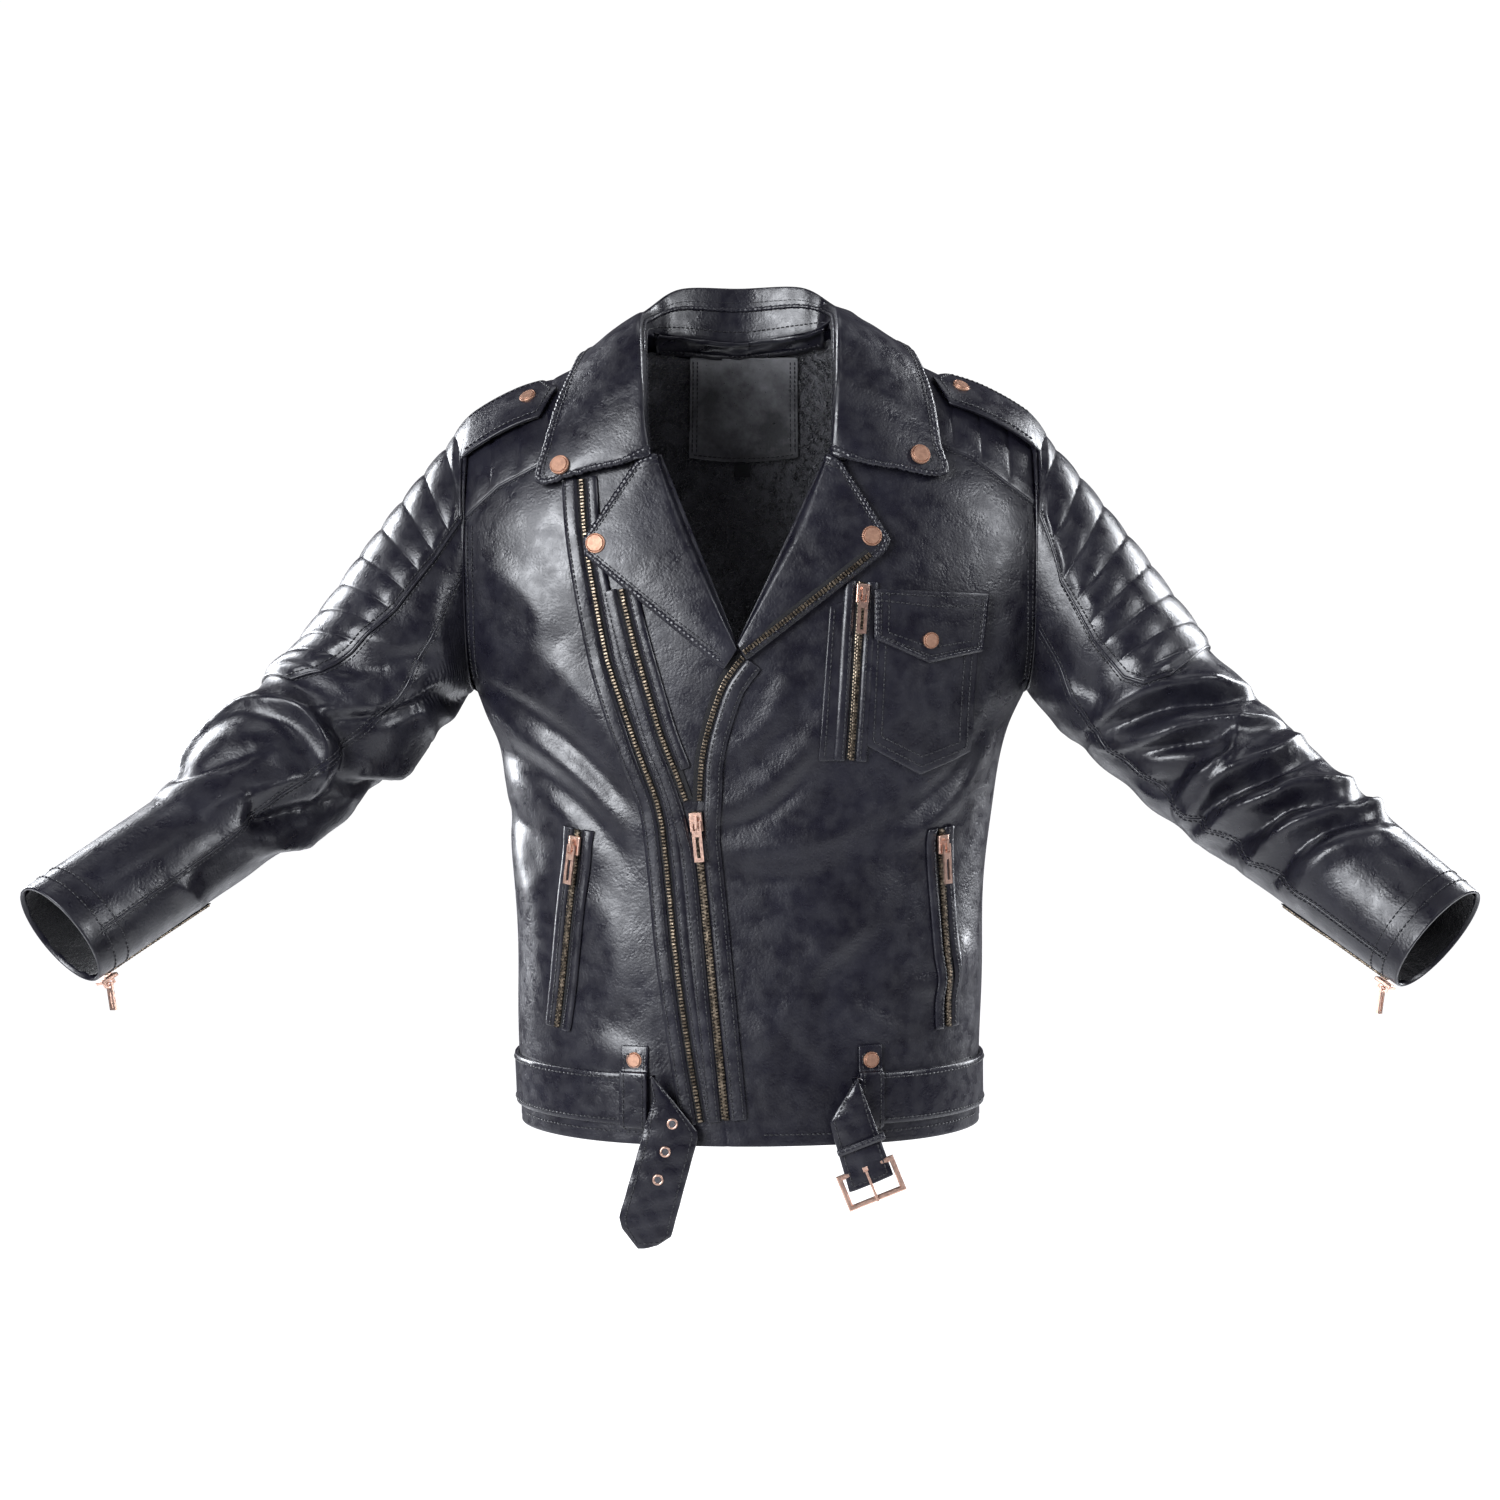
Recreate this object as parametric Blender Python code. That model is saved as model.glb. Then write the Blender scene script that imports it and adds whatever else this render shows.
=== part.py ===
"""Leather riding jacket with an asymmetric front zip, held at the shoulders.

Metres, +Z up, the front faces -Y. Right and left are the wearer's, so right is -X.
Every sewn piece is a sheet on one of two forms: the torso form or a sleeve form.
"""

import math

import bmesh
import bpy
from mathutils import Matrix, Vector

# Torso form: height, half width, half depth at the front, half depth at the back.
TORSO = (
    (-0.640, 0.184, 0.122, 0.118),
    (-0.500, 0.185, 0.120, 0.108),
    (-0.400, 0.187, 0.118, 0.103),
    (-0.330, 0.194, 0.120, 0.107),
    (-0.285, 0.204, 0.123, 0.111),
    (-0.250, 0.219, 0.125, 0.114),
    (-0.200, 0.243, 0.124, 0.116),
    (-0.150, 0.256, 0.120, 0.115),
    (-0.060, 0.262, 0.105, 0.105),
    (0.100, 0.262, 0.100, 0.100),
)
# Shoulder line: distance from the middle, height.
RIDGE = (
    (0.000, 0.058),
    (0.050, 0.052),
    (0.090, 0.030),
    (0.140, 0.000),
    (0.180, -0.017),
    (0.222, -0.040),
    (0.270, -0.075),
)
SQUARENESS = 2.2
SHOULDER_ARCH = 0.110

# Thicknesses and gaps.
LEATHER = 0.0030
GAP = 0.0003
SEAM_GAP = 0.0004
LINING = 0.0015
LINING_GAP = 0.0030
TAPE = 0.0020
CHAIN = 0.0025
QUILT = 0.0050
PAD = 0.0050

# Heights and widths of the body.
HEM_Z = -0.594
ARMHOLE_X = 0.222
ARMHOLE_LOW_Z = -0.250
YOKE_OUTER_X = 0.2180
ZIP_BOTTOM = (-0.0170, HEM_Z)
ZIP_MEET = (-0.0410, -0.3450)
V_BOTTOM = (-0.0098, -0.2148)
RIGHT_ROLL_TOP = (-0.0671, -0.0719)
NECK_RIGHT_X = -0.0830
NECK_LEFT_X = 0.0660
NECK_BACK_Z = 0.0280
LEFT_ROLL_TOP = (0.0565, -0.0742)

# Sleeves: elbow and wrist centres on each side, and the ball joint at the elbow.
ELBOW = {"right": (-0.3400, -0.0500, -0.2911), "left": (0.3541, -0.0500, -0.3013)}
WRIST = {"right": (-0.4903, -0.2350, -0.4154), "left": (0.4972, -0.2000, -0.4256)}
ARM_TOP = (0.0, -0.146)
ARM_TOP_HEIGHT = 0.104
ARM_TOP_DEPTH = 0.074
ELBOW_RADIUS = 0.057
WRIST_RADIUS = 0.045
BALL_RADIUS = 0.076
ELBOW_OPENS = math.radians(25)
ELBOW_BENDS = math.radians(40)
BALL_MARGIN = math.radians(3)
BALL_GAP = 0.0022
SLEEVE_SIDES = 24

LOOKS = {
    "leather": ((0.018, 0.018, 0.022), 0.38, 0.0),
    "lining": ((0.012, 0.012, 0.012), 0.95, 0.0),
    "tape": ((0.012, 0.012, 0.014), 0.85, 0.0),
    "brass": ((0.42, 0.30, 0.16), 0.35, 1.0),
    "copper": ((0.80, 0.42, 0.32), 0.40, 1.0),
    "rose_gold": ((0.86, 0.56, 0.44), 0.18, 1.0),
}


def clear_scene():
    for obj in list(bpy.data.objects):
        bpy.data.objects.remove(obj, do_unlink=True)


def look(name, kind):
    """A material of its own for one piece."""
    colour, roughness, metallic = LOOKS[kind]
    material = bpy.data.materials.new(name)
    material.use_nodes = True
    shader = material.node_tree.nodes["Principled BSDF"]
    shader.inputs["Base Color"].default_value = (*colour, 1.0)
    shader.inputs["Roughness"].default_value = roughness
    shader.inputs["Metallic"].default_value = metallic
    material.diffuse_color = (*colour, 1.0)
    return material


def add_object(name, work, kind, matrix=None, smooth=True):
    """Turns a bmesh into a named object. The mesh is in the frame of `matrix`."""
    bmesh.ops.recalc_face_normals(work, faces=work.faces[:])
    mesh = bpy.data.meshes.new(name)
    work.to_mesh(mesh)
    work.free()
    if smooth:
        mesh.shade_smooth()
        mesh.set_sharp_from_angle(angle=math.radians(40))
    obj = bpy.data.objects.new(name, mesh)
    bpy.context.scene.collection.objects.link(obj)
    obj.data.materials.append(look(name, kind))
    if matrix is not None:
        obj.matrix_world = matrix
    return obj


def helper(obj):
    obj.hide_render = True
    obj.display_type = "WIRE"
    return obj


def cut(obj, cutter):
    modifier = obj.modifiers.new("cut", "BOOLEAN")
    modifier.operation = "DIFFERENCE"
    modifier.solver = "EXACT"
    modifier.object = helper(cutter)


def join(obj, other):
    modifier = obj.modifiers.new("join", "BOOLEAN")
    modifier.operation = "UNION"
    modifier.solver = "EXACT"
    modifier.object = helper(other)


def bevel(obj, width, segments=2):
    modifier = obj.modifiers.new("bevel", "BEVEL")
    modifier.width = width
    modifier.segments = segments
    modifier.limit_method = "ANGLE"


# ---------------------------------------------------------------- smooth tables


def between(table, place, column=1):
    """Reads one column of a table along a smooth curve through its rows."""
    last = len(table) - 1
    if place <= table[0][0]:
        return table[0][column]
    if place >= table[last][0]:
        return table[last][column]
    row = max(k for k in range(last) if table[k][0] <= place)

    def slope(k):
        low, high = max(k - 1, 0), min(k + 1, last)
        return (table[high][column] - table[low][column]) / (table[high][0] - table[low][0])

    width = table[row + 1][0] - table[row][0]
    s = (place - table[row][0]) / width
    start, end = table[row][column], table[row + 1][column]
    rise = (s**3 - 2 * s**2 + s) * slope(row) * width + (s**3 - s**2) * slope(row + 1) * width
    return (2 * s**3 - 3 * s**2 + 1) * start + rise + (3 * s**2 - 2 * s**3) * end


def mix(a, b, t):
    return a + (b - a) * t


def along(points, t):
    """The point at share t of a polyline's length."""
    points = [Vector(p) for p in points]
    lengths = [(b - a).length for a, b in zip(points, points[1:])]
    rest = t * sum(lengths)
    for a, b, length in zip(points, points[1:], lengths):
        if rest <= length:
            return a.lerp(b, rest / length)
        rest -= length
    return points[-1]


def smooth_path(points, count):
    """`count` points on a Catmull-Rom curve through the given ones."""
    points = [Vector(p) for p in points]
    ends = [points[0] * 2 - points[1]] + points + [points[-1] * 2 - points[-2]]
    found = []
    for i in range(count):
        place = i / (count - 1) * (len(points) - 1)
        k = min(int(place), len(points) - 2)
        t = place - k
        p0, p1, p2, p3 = ends[k : k + 4]
        found.append(
            0.5 * (2 * p1 + (p2 - p0) * t + (2 * p0 - 5 * p1 + 4 * p2 - p3) * t**2)
            + 0.5 * (3 * p1 - p0 - 3 * p2 + p3) * t**3
        )
    return found


# ---------------------------------------------------------------- torso form


def torso_level(point):
    """Zero on the torso form, negative inside it."""
    x, y, z = point
    wide = abs(x) / between(TORSO, z, 1)
    deep = abs(y) / between(TORSO, z, 2 if y < 0 else 3)
    below = between(RIDGE, abs(x)) - z
    if below >= SHOULDER_ARCH:
        return wide**SQUARENESS + deep**SQUARENESS - 1
    round_plan = max(1 - wide**SQUARENESS, 1e-6) ** (1 / SQUARENESS)
    return (deep / round_plan) ** 2 + (1 - below / SHOULDER_ARCH) ** 2 - 1


def torso_depth(x, z, side):
    """y of the torso form; side is -1 at the front and +1 at the back."""
    wide = min(1.0, abs(x) / between(TORSO, z, 1))
    deep = between(TORSO, z, 2 if side < 0 else 3)
    below = between(RIDGE, abs(x)) - z
    over = 1.0
    if below < SHOULDER_ARCH:
        over = math.sqrt(max(0.0, 1 - (1 - below / SHOULDER_ARCH) ** 2))
    return side * deep * (1 - wide**SQUARENESS) ** (1 / SQUARENESS) * over


def torso_normal(point):
    step = 0.0002
    slopes = []
    for axis in range(3):
        ahead, behind = Vector(point), Vector(point)
        ahead[axis] += step
        behind[axis] -= step
        slopes.append(torso_level(ahead) - torso_level(behind))
    return Vector(slopes).normalized()


def torso_spot(x, z, side, lift=0.0):
    """(point, outward normal) on the torso form, `lift` outside it."""
    point = Vector((x, torso_depth(x, z, side), z))
    normal = torso_normal(point)
    return point + normal * lift, normal


def shoulder_spot(x, turn, lift=0.0):
    """(point, normal) on the shoulder arch; turn is 0 on the ridge, negative to the front."""
    z = between(RIDGE, abs(x)) - SHOULDER_ARCH * (1 - math.cos(turn))
    return torso_spot(x, z, -1 if turn < 0 else 1, lift)


# ---------------------------------------------------------------- sheets


def sheet(name, grid, thickness, kind, origin=(0, 0, 0), ring=False):
    """A closed solid from a grid of (point, normal) on its inner face, extruded outwards."""
    origin = Vector(origin)
    work = bmesh.new()
    away = work.verts.layers.float_vector.new("away")
    rows = []
    for line in grid:
        made = []
        for point, normal in line:
            vert = work.verts.new(point - origin)
            vert[away] = normal
            made.append(vert)
        rows.append(made + made[:1] if ring else made)
    for low, high in zip(rows, rows[1:]):
        for a, b, c, d in zip(low, low[1:], high[1:], high):
            work.faces.new((a, b, c, d))
    moved = bmesh.ops.extrude_face_region(work, geom=work.faces[:])["geom"]
    for vert in moved:
        if isinstance(vert, bmesh.types.BMVert):
            vert.co += vert[away] * thickness
    return add_object(name, work, kind, Matrix.Translation(origin))


def filled(low, high, left, right, columns, rows, side, lift, ease=0.0):
    """A grid of torso spots inside four edges, each a polyline of (x, z).

    low and high run from left to right; left and right run from low to high. ease draws the
    columns together towards the right edge and the rows towards the high edge.
    """
    grid = []
    for j in range(rows + 1):
        v = j / rows
        v = mix(v, 1 - (1 - v) ** 2, ease)
        line = []
        for i in range(columns + 1):
            u = i / columns
            u = mix(u, 1 - (1 - u) ** 2, ease)
            across = along(low, u).lerp(along(high, u), v)
            upward = along(left, v).lerp(along(right, v), u)
            corners = Vector(low[0]).lerp(Vector(low[-1]), u).lerp(
                Vector(high[0]).lerp(Vector(high[-1]), u), v
            )
            x, z = across + upward - corners
            line.append(torso_spot(x, z, side, lift))
        grid.append(line)
    return grid


def ribbon(name, path, width, lift, thickness, kind, samples=24, side=-1):
    """A strip of constant width on the torso form along a smooth path of (x, z)."""
    spots = [torso_spot(x, z, side, lift) for x, z in smooth_path(path, samples)]
    grid = []
    for i, (point, normal) in enumerate(spots):
        ahead = spots[min(i + 1, samples - 1)][0]
        behind = spots[max(i - 1, 0)][0]
        across = normal.cross(ahead - behind).normalized() * width / 2
        grid.append([(point - across, normal), (point, normal), (point + across, normal)])
    return sheet(name, grid, thickness, kind)


# ---------------------------------------------------------------- body panels


def side_x(z):
    """Outer edge of the front and back panels at this height: side seam or armhole."""
    seam = between(TORSO, z, 1) - 4e-7
    if z < ARMHOLE_LOW_Z:
        return min(seam, ARMHOLE_X)
    return ARMHOLE_X


def outer_edge(hand, top_z, steps=22):
    return [(hand * side_x(z), z) for z in (mix(HEM_Z, top_z, k / steps) for k in range(steps + 1))]


def front_edge(hand, roll_top):
    """Centre front from the hem up the zip line, over the break and up the roll line."""
    gap = hand * SEAM_GAP / 2
    middle = (-0.0270, -0.2700)
    return [
        (ZIP_BOTTOM[0] + gap, HEM_Z),
        (ZIP_MEET[0] + gap, ZIP_MEET[1]),
        (middle[0] + gap, middle[1]),
        (V_BOTTOM[0] + gap, V_BOTTOM[1]),
        (roll_top[0], roll_top[1]),
    ]


YOKE_SEAM = {
    "right": [(-0.0830, -0.0755), (-0.1563, -0.0760), (-0.1931, -0.0943), (-0.2220, -0.1198)],
    "left": [(0.0680, -0.0755), (0.1381, -0.0600), (0.1699, -0.0730), (0.2220, -0.1090)],
}


def front_panel(side, hand, roll_top):
    """Front from the zip to the side seam, its columns drawn together under the arm."""
    seam = YOKE_SEAM[side]
    top = [roll_top] + seam
    inner = front_edge(hand, roll_top)
    outer = outer_edge(hand, seam[-1][1])
    low = [inner[0], outer[0]]
    grid = filled(low, top, inner, outer, 13, 17, -1, -LEATHER, ease=0.6)
    sheet(f"{side}_front_panel", grid, LEATHER, "leather")


def yoke(side, hand):
    """Quilted shoulder piece from the front seam up to the shoulder line."""
    lower = [(x, z + 0.0020) for x, z in YOKE_SEAM[side]]
    lower[-1] = (hand * YOKE_OUTER_X, lower[-1][1] + 0.0040)
    neck_x = abs(NECK_RIGHT_X if hand < 0 else NECK_LEFT_X) + 0.0020
    steps = 12
    upper = []
    for k in range(steps + 1):
        x = mix(neck_x, YOKE_OUTER_X, k / steps)
        upper.append((hand * x, between(RIDGE, x) - 2e-5))
    inner = [lower[0], (hand * neck_x, -0.030), upper[0]]
    outer = [lower[-1], upper[-1]]
    sheet(f"{side}_yoke", filled(lower, upper, inner, outer, 10, 8, -1, -LEATHER), QUILT, "leather")


def back_rows(steps):
    """Shares from hem to shoulder, drawn together near the shoulder line."""
    shares = [j / steps for j in range(steps + 1)]
    return [mix(v, 1 - (1 - v) ** 2, 0.8) for v in shares]


def back_top(x):
    """Top edge of the back: the neck seam in the middle, then the shoulder line."""
    middle = (NECK_RIGHT_X + NECK_LEFT_X) / 2
    half = (NECK_LEFT_X - NECK_RIGHT_X) / 2
    if abs(x - middle) < half:
        corner = between(RIDGE, abs(NECK_LEFT_X if x > middle else NECK_RIGHT_X))
        return mix(NECK_BACK_Z, corner, ((x - middle) / half) ** 2) - 2e-5
    return between(RIDGE, abs(x)) - 2e-5


def back_grid(lift, columns, rows, low_z, inset, top_drop=0.0):
    grid = []
    for v in back_rows(rows):
        line = []
        for i in range(columns + 1):
            turn = mix(-1, 1, i / columns)
            share = math.sin(turn * math.pi / 2) * 0.55 + turn * 0.45
            top = back_top(share * (ARMHOLE_X - inset))
            z = mix(low_z, top, v)
            x = share * (side_x(z) - inset)
            z = mix(low_z, back_top(x) - top_drop, v)
            line.append(torso_spot(x, z, 1, lift))
        grid.append(line)
    return grid


def body_panels():
    sheet("back_panel", back_grid(-LEATHER, 24, 18, HEM_Z, 0.0002), LEATHER, "leather")
    front_panel("right", -1, RIGHT_ROLL_TOP)
    front_panel("left", 1, LEFT_ROLL_TOP)
    yoke("right", -1)
    yoke("left", 1)


def lining():
    """Pile lining inside the back, from under the neck seam to the hem."""
    lift = -LEATHER - LINING_GAP - LINING
    sheet("lining", back_grid(lift, 18, 14, HEM_Z + 0.012, 0.016, 0.010), LINING, "lining")


def neck_patch():
    """Leather patch inside the back of the neck, and the blank size label under it."""
    patch_lift = -LEATHER - LINING_GAP - LINING - 0.0050
    left, right, low, high = -0.0520, 0.0410, -0.0640, 0.0180
    corners = [(left, low), (right, low)], [(left, high), (right, high)]
    sides = [(left, low), (left, high)], [(right, low), (right, high)]
    grid = filled(*corners, *sides, 6, 6, 1, patch_lift)
    sheet("neck_patch", grid, 0.0020, "leather")
    left, right, low, high = -0.0130, 0.0000, -0.0740, -0.0645
    corners = [(left, low), (right, low)], [(left, high), (right, high)]
    sides = [(left, low), (left, high)], [(right, low), (right, high)]
    grid = filled(*corners, *sides, 3, 2, 1, patch_lift + 0.0010)
    sheet("size_label", grid, 0.0008, "tape")


# ---------------------------------------------------------------- collar and lapels

# Collar from its right front end around the neck: seam x, seam z, side of the form,
# height of the stand, how upright it stands, outer edge x, outer edge z.
COLLAR = (
    (-0.0770, -0.0700, -1, 0.0090, 0.0, -0.1180, -0.0860),
    (-0.0765, -0.0480, -1, 0.0110, 0.0, -0.1556, -0.0925),
    (-0.0775, -0.0130, -1, 0.0150, 0.2, -0.1470, -0.0450),
    (-0.0790, 0.0180, -1, 0.0200, 0.5, -0.1340, -0.0080),
    (-0.0785, 0.0360, 1, 0.0260, 0.8, -0.1220, 0.0090),
    (-0.0600, 0.0350, 1, 0.0330, 1.0, -0.0950, -0.0020),
    (-0.0085, 0.0315, 1, 0.0370, 1.0, -0.0085, -0.0120),
    (0.0440, 0.0400, 1, 0.0300, 1.0, 0.0800, 0.0060),
    (0.0620, 0.0455, 1, 0.0220, 0.8, 0.1080, 0.0160),
    (0.0622, 0.0200, -1, 0.0200, 0.5, 0.1270, -0.0030),
    (0.0620, -0.0130, -1, 0.0150, 0.2, 0.1370, -0.0400),
    (0.0615, -0.0460, -1, 0.0110, 0.0, 0.1420, -0.0850),
    (0.0605, -0.0700, -1, 0.0090, 0.0, 0.1030, -0.0830),
)
COLLAR_CLEARANCE = 0.0062
COLLAR_THICKNESS = 0.0022
COLLAR_STEPS = 30


def pushed_out(point, clearance):
    """The point, moved outwards until it is `clearance` outside the torso form."""
    point = Vector(point)
    for _ in range(60):
        normal = torso_normal(point)
        ahead = point + normal * 1e-4
        slope = (torso_level(ahead) - torso_level(point)) / 1e-4
        distance = torso_level(point) / max(slope, 1e-6)
        if distance >= clearance:
            break
        point += normal * 0.0006
    return point


def collar_lines():
    """The seam, the roll and the outer edge of the collar, each as a list of points."""
    seams, rolls, falls = [], [], []
    for seam_x, seam_z, side, rise, upright, fall_x, fall_z in COLLAR:
        seam, normal = torso_spot(seam_x, seam_z, side)
        upward = normal.lerp(Vector((0, 0, 1)), upright).normalized()
        seams.append(seam)
        rolls.append(seam + upward * rise)
        falls.append(torso_spot(fall_x, fall_z, side, COLLAR_CLEARANCE)[0])
    return [smooth_path(points, COLLAR_STEPS) for points in (seams, rolls, falls)]


def collar():
    """One folded piece: a stand up from the neck seam, the roll, and the fall outside it."""
    points = []
    for seam, roll, fall in zip(*collar_lines()):
        outward = (fall - roll).normalized()
        upward = (roll - seam).normalized()
        crown = roll + outward * 0.0050 + upward * 0.0012
        line = [seam, seam.lerp(roll, 0.5), roll, crown]
        for share in (0.3, 0.6, 1.0):
            spot = crown.lerp(fall, share) + upward * 0.006 * share * (1 - share)
            line.append(pushed_out(spot, COLLAR_CLEARANCE))
        points.append(line)
    sheet("collar", with_normals(points), COLLAR_THICKNESS, "leather")


def with_normals(points):
    """Pairs each point of a grid with the normal of the surface through its neighbours."""
    grid = []
    for j, line in enumerate(points):
        pairs = []
        for i, point in enumerate(line):
            across = points[min(j + 1, len(points) - 1)][i] - points[max(j - 1, 0)][i]
            upward = line[min(i + 1, len(line) - 1)] - line[max(i - 1, 0)]
            pairs.append((point, across.cross(upward).normalized()))
        grid.append(pairs)
    return grid


LAPEL_LIFT = 0.0033
LAPEL_THICKNESS = 0.0028
LAPEL_OUTER = {
    "right": [(-0.0840, -0.0790), (-0.1237, -0.1366), (-0.1226, -0.1479), (-0.0200, -0.2320)],
    "left": [(0.0640, -0.0800), (0.1038, -0.1367), (0.1000, -0.1458), (-0.0020, -0.2250)],
}
LAPEL_ROLL = {
    "right": [(-0.0690, -0.0790), (-0.0135, -0.2200)],
    "left": [(0.0545, -0.0800), (-0.0075, -0.2165)],
}


def lapel(side, hand):
    """The turned-back front edge. Its origin is on the roll line, which it turns about."""
    grid = []
    rows, columns = 14, 5
    for j in range(rows + 1):
        t = j / rows
        roll = along(LAPEL_ROLL[side], t)
        edge = along(LAPEL_OUTER[side], t)
        line = []
        for i in range(columns + 1):
            x, z = roll.lerp(edge, i / columns)
            line.append(torso_spot(x, z, -1, LAPEL_LIFT))
        grid.append(line)
    origin = roll_axis(side)[0]
    sheet(f"{side}_lapel", grid, LAPEL_THICKNESS, "leather", origin)


def roll_axis(side):
    """(top point, direction up the roll line) of a lapel."""
    low = torso_spot(*LAPEL_ROLL[side][1], -1, LAPEL_LIFT)[0]
    high = torso_spot(*LAPEL_ROLL[side][0], -1, LAPEL_LIFT)[0]
    return high, (high - low).normalized()


# ---------------------------------------------------------------- snaps


SNAP_RADIUS = 0.0074
SNAP_HEIGHT = 0.0022


def facing(point, normal, down):
    """A frame with Z along the normal and Y against `down`."""
    z = Vector(normal).normalized()
    x = Vector(down).cross(z).normalized() * -1
    y = z.cross(x)
    return Matrix.Translation(point) @ Matrix((x, y, z)).transposed().to_4x4()


def snap(name, point, normal, radius=SNAP_RADIUS):
    work = bmesh.new()
    bmesh.ops.create_cone(
        work, cap_ends=True, segments=16, radius1=radius, radius2=radius, depth=SNAP_HEIGHT
    )
    for vert in work.verts:
        vert.co.z += SNAP_HEIGHT / 2 + GAP
    obj = add_object(name, work, "copper", facing(point, normal, (0, 0, -1)))
    bevel(obj, 0.0008)
    return obj


def torso_snap(name, x, z, lift, radius=SNAP_RADIUS):
    point, normal = torso_spot(x, z, -1, lift)
    return snap(name, point, normal, radius)


def snaps():
    top = LAPEL_LIFT + LAPEL_THICKNESS + 0.0004
    torso_snap("right_lapel_snap", -0.1145, -0.1397, top)
    torso_snap("left_lapel_snap", 0.0902, -0.1345, top)
    fall = COLLAR_CLEARANCE + COLLAR_THICKNESS + 0.0034
    torso_snap("right_collar_snap", -0.1400, -0.0830, fall)
    torso_snap("left_collar_snap", 0.1250, -0.0750, fall)


# ---------------------------------------------------------------- zips

PULL_LENGTH = 0.0300
PULL_WIDTH = 0.0074
PULL_THICKNESS = 0.0016
SLIDER_WIDTH = 0.0100
SLIDER_LENGTH = 0.0145
SLIDER_HEIGHT = 0.0030
BRIDGE_WIDTH = 0.0022
PIN_HEIGHT = SLIDER_HEIGHT + 0.0022
BRIDGE_REACH = 0.0046
BRIDGE_HEIGHT = 0.0040
BRIDGE_HOLE = 0.0032
PULL_RIM = 0.0014
PULL_WINDOW = 0.0062
PULL_SLOT = 0.0026
PULL_END = 0.0030
PULL_SHOULDER = 0.0110
CUT_DEPTH = 0.0100


def box_work(low, high):
    work = bmesh.new()
    bmesh.ops.create_cube(work, size=1.0)
    low, high = Vector(low), Vector(high)
    for vert in work.verts:
        vert.co = Vector(mix(low[k], high[k], vert.co[k] + 0.5) for k in range(3))
    return work


def zip_bar(name, top, bottom, width, thickness, kind, start_lift=GAP):
    """A straight strip over the torso form. Returns its frame, with -Y down the zip.

    The strip stands clear of the form's bulge along its whole length.
    """
    first = torso_spot(*top, -1)[0]
    last = torso_spot(*bottom, -1)[0]
    middle = torso_spot(*Vector(top).lerp(Vector(bottom), 0.5), -1)
    down = (last - first).normalized()
    normal = (middle[1] - down * middle[1].dot(down)).normalized()
    across = normal.cross(down)
    rise = 0.0
    for k in range(13):
        x, z = Vector(top).lerp(Vector(bottom), k / 12)
        for edge in (-width / 2, 0.0, width / 2):
            spot = torso_spot(x + edge * across.x, z + edge * across.z, -1)[0]
            rise = max(rise, (spot - first).dot(normal))
    matrix = facing(first + normal * (rise + start_lift), normal, down)
    length = (last - first).length
    obj = add_object(name, box_work((-width / 2, -length, 0), (width / 2, 0, thickness)), kind, matrix)
    bevel(obj, 0.0005, 1)
    return matrix @ Matrix.Translation((0, 0, thickness + GAP))


def slider(name, matrix, run):
    """A zip slider `run` below the frame's origin: body and the bridge that holds the pull."""
    place = matrix @ Matrix.Translation((0, -run, 0))
    half, long = SLIDER_WIDTH / 2, SLIDER_LENGTH / 2
    body = add_object(name, box_work((-half, -long, 0), (half, long, SLIDER_HEIGHT)), "rose_gold", place)
    bevel(body, 0.0008)
    wide, top = BRIDGE_WIDTH / 2, SLIDER_HEIGHT + BRIDGE_HEIGHT
    bridge = box_work((-wide, -BRIDGE_REACH, SLIDER_HEIGHT - 0.0008), (wide, BRIDGE_REACH, top))
    join(body, add_object(name + "_bridge", bridge, "rose_gold", place))
    hole = box_work((-half, -BRIDGE_HOLE, SLIDER_HEIGHT), (half, BRIDGE_HOLE, PIN_HEIGHT + 0.0010))
    cut(body, add_object(name + "_hole", hole, "rose_gold", place))
    return place @ Matrix.Translation((0, 0, PIN_HEIGHT - 0.0001))


def pull(name, pivot):
    """A pull tab on the slider's pin, hanging straight down. Its origin is on the pin."""
    across = pivot.to_3x3().col[0]
    down = Vector((0, 0, -1))
    down = (down - across * down.dot(across)).normalized()
    normal = across.cross(-down)
    rotation = Matrix((across, -down, normal)).transposed().to_4x4()
    place = Matrix.Translation(pivot.translation) @ rotation
    half, thick = PULL_WIDTH / 2, PULL_THICKNESS / 2
    plate = box_work((-half, -PULL_LENGTH, -thick), (half, thick, thick))
    obj = add_object(name, plate, "rose_gold", place)
    window = box_work(
        (-half + PULL_RIM, -PULL_WINDOW, -CUT_DEPTH), (half - PULL_RIM, -thick, CUT_DEPTH)
    )
    cut(obj, add_object(name + "_window", window, "rose_gold", place))
    slot = box_work(
        (-PULL_SLOT / 2, -PULL_LENGTH + PULL_END, -CUT_DEPTH), (PULL_SLOT / 2, -PULL_SHOULDER, CUT_DEPTH)
    )
    cut(obj, add_object(name + "_slot", slot, "rose_gold", place))
    return obj


def main_zip():
    """Two open chains, the closed chain below them, and the slider between."""
    right = [(-0.0963, -0.1728), (-0.0911, -0.1968), (-0.0834, -0.2261), (-0.0748, -0.2558)]
    right += [(-0.0662, -0.2833), (-0.0559, -0.3094), (-0.0478, -0.3320)]
    ribbon("right_zip_chain", right, 0.0070, GAP, CHAIN, "brass", 22)
    left = [(-0.0105, -0.2340), (-0.0200, -0.2500), (-0.0308, -0.2763), (-0.0361, -0.3023)]
    left += [(-0.0378, -0.3320)]
    ribbon("left_zip_chain", left, 0.0070, GAP, CHAIN, "brass", 14)
    matrix = zip_bar("closed_zip_chain", (-0.0410, -0.3400), (-0.0185, -0.5740), 0.0075, CHAIN, "brass")
    return slider("main_slider", matrix, 0.0080)


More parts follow.
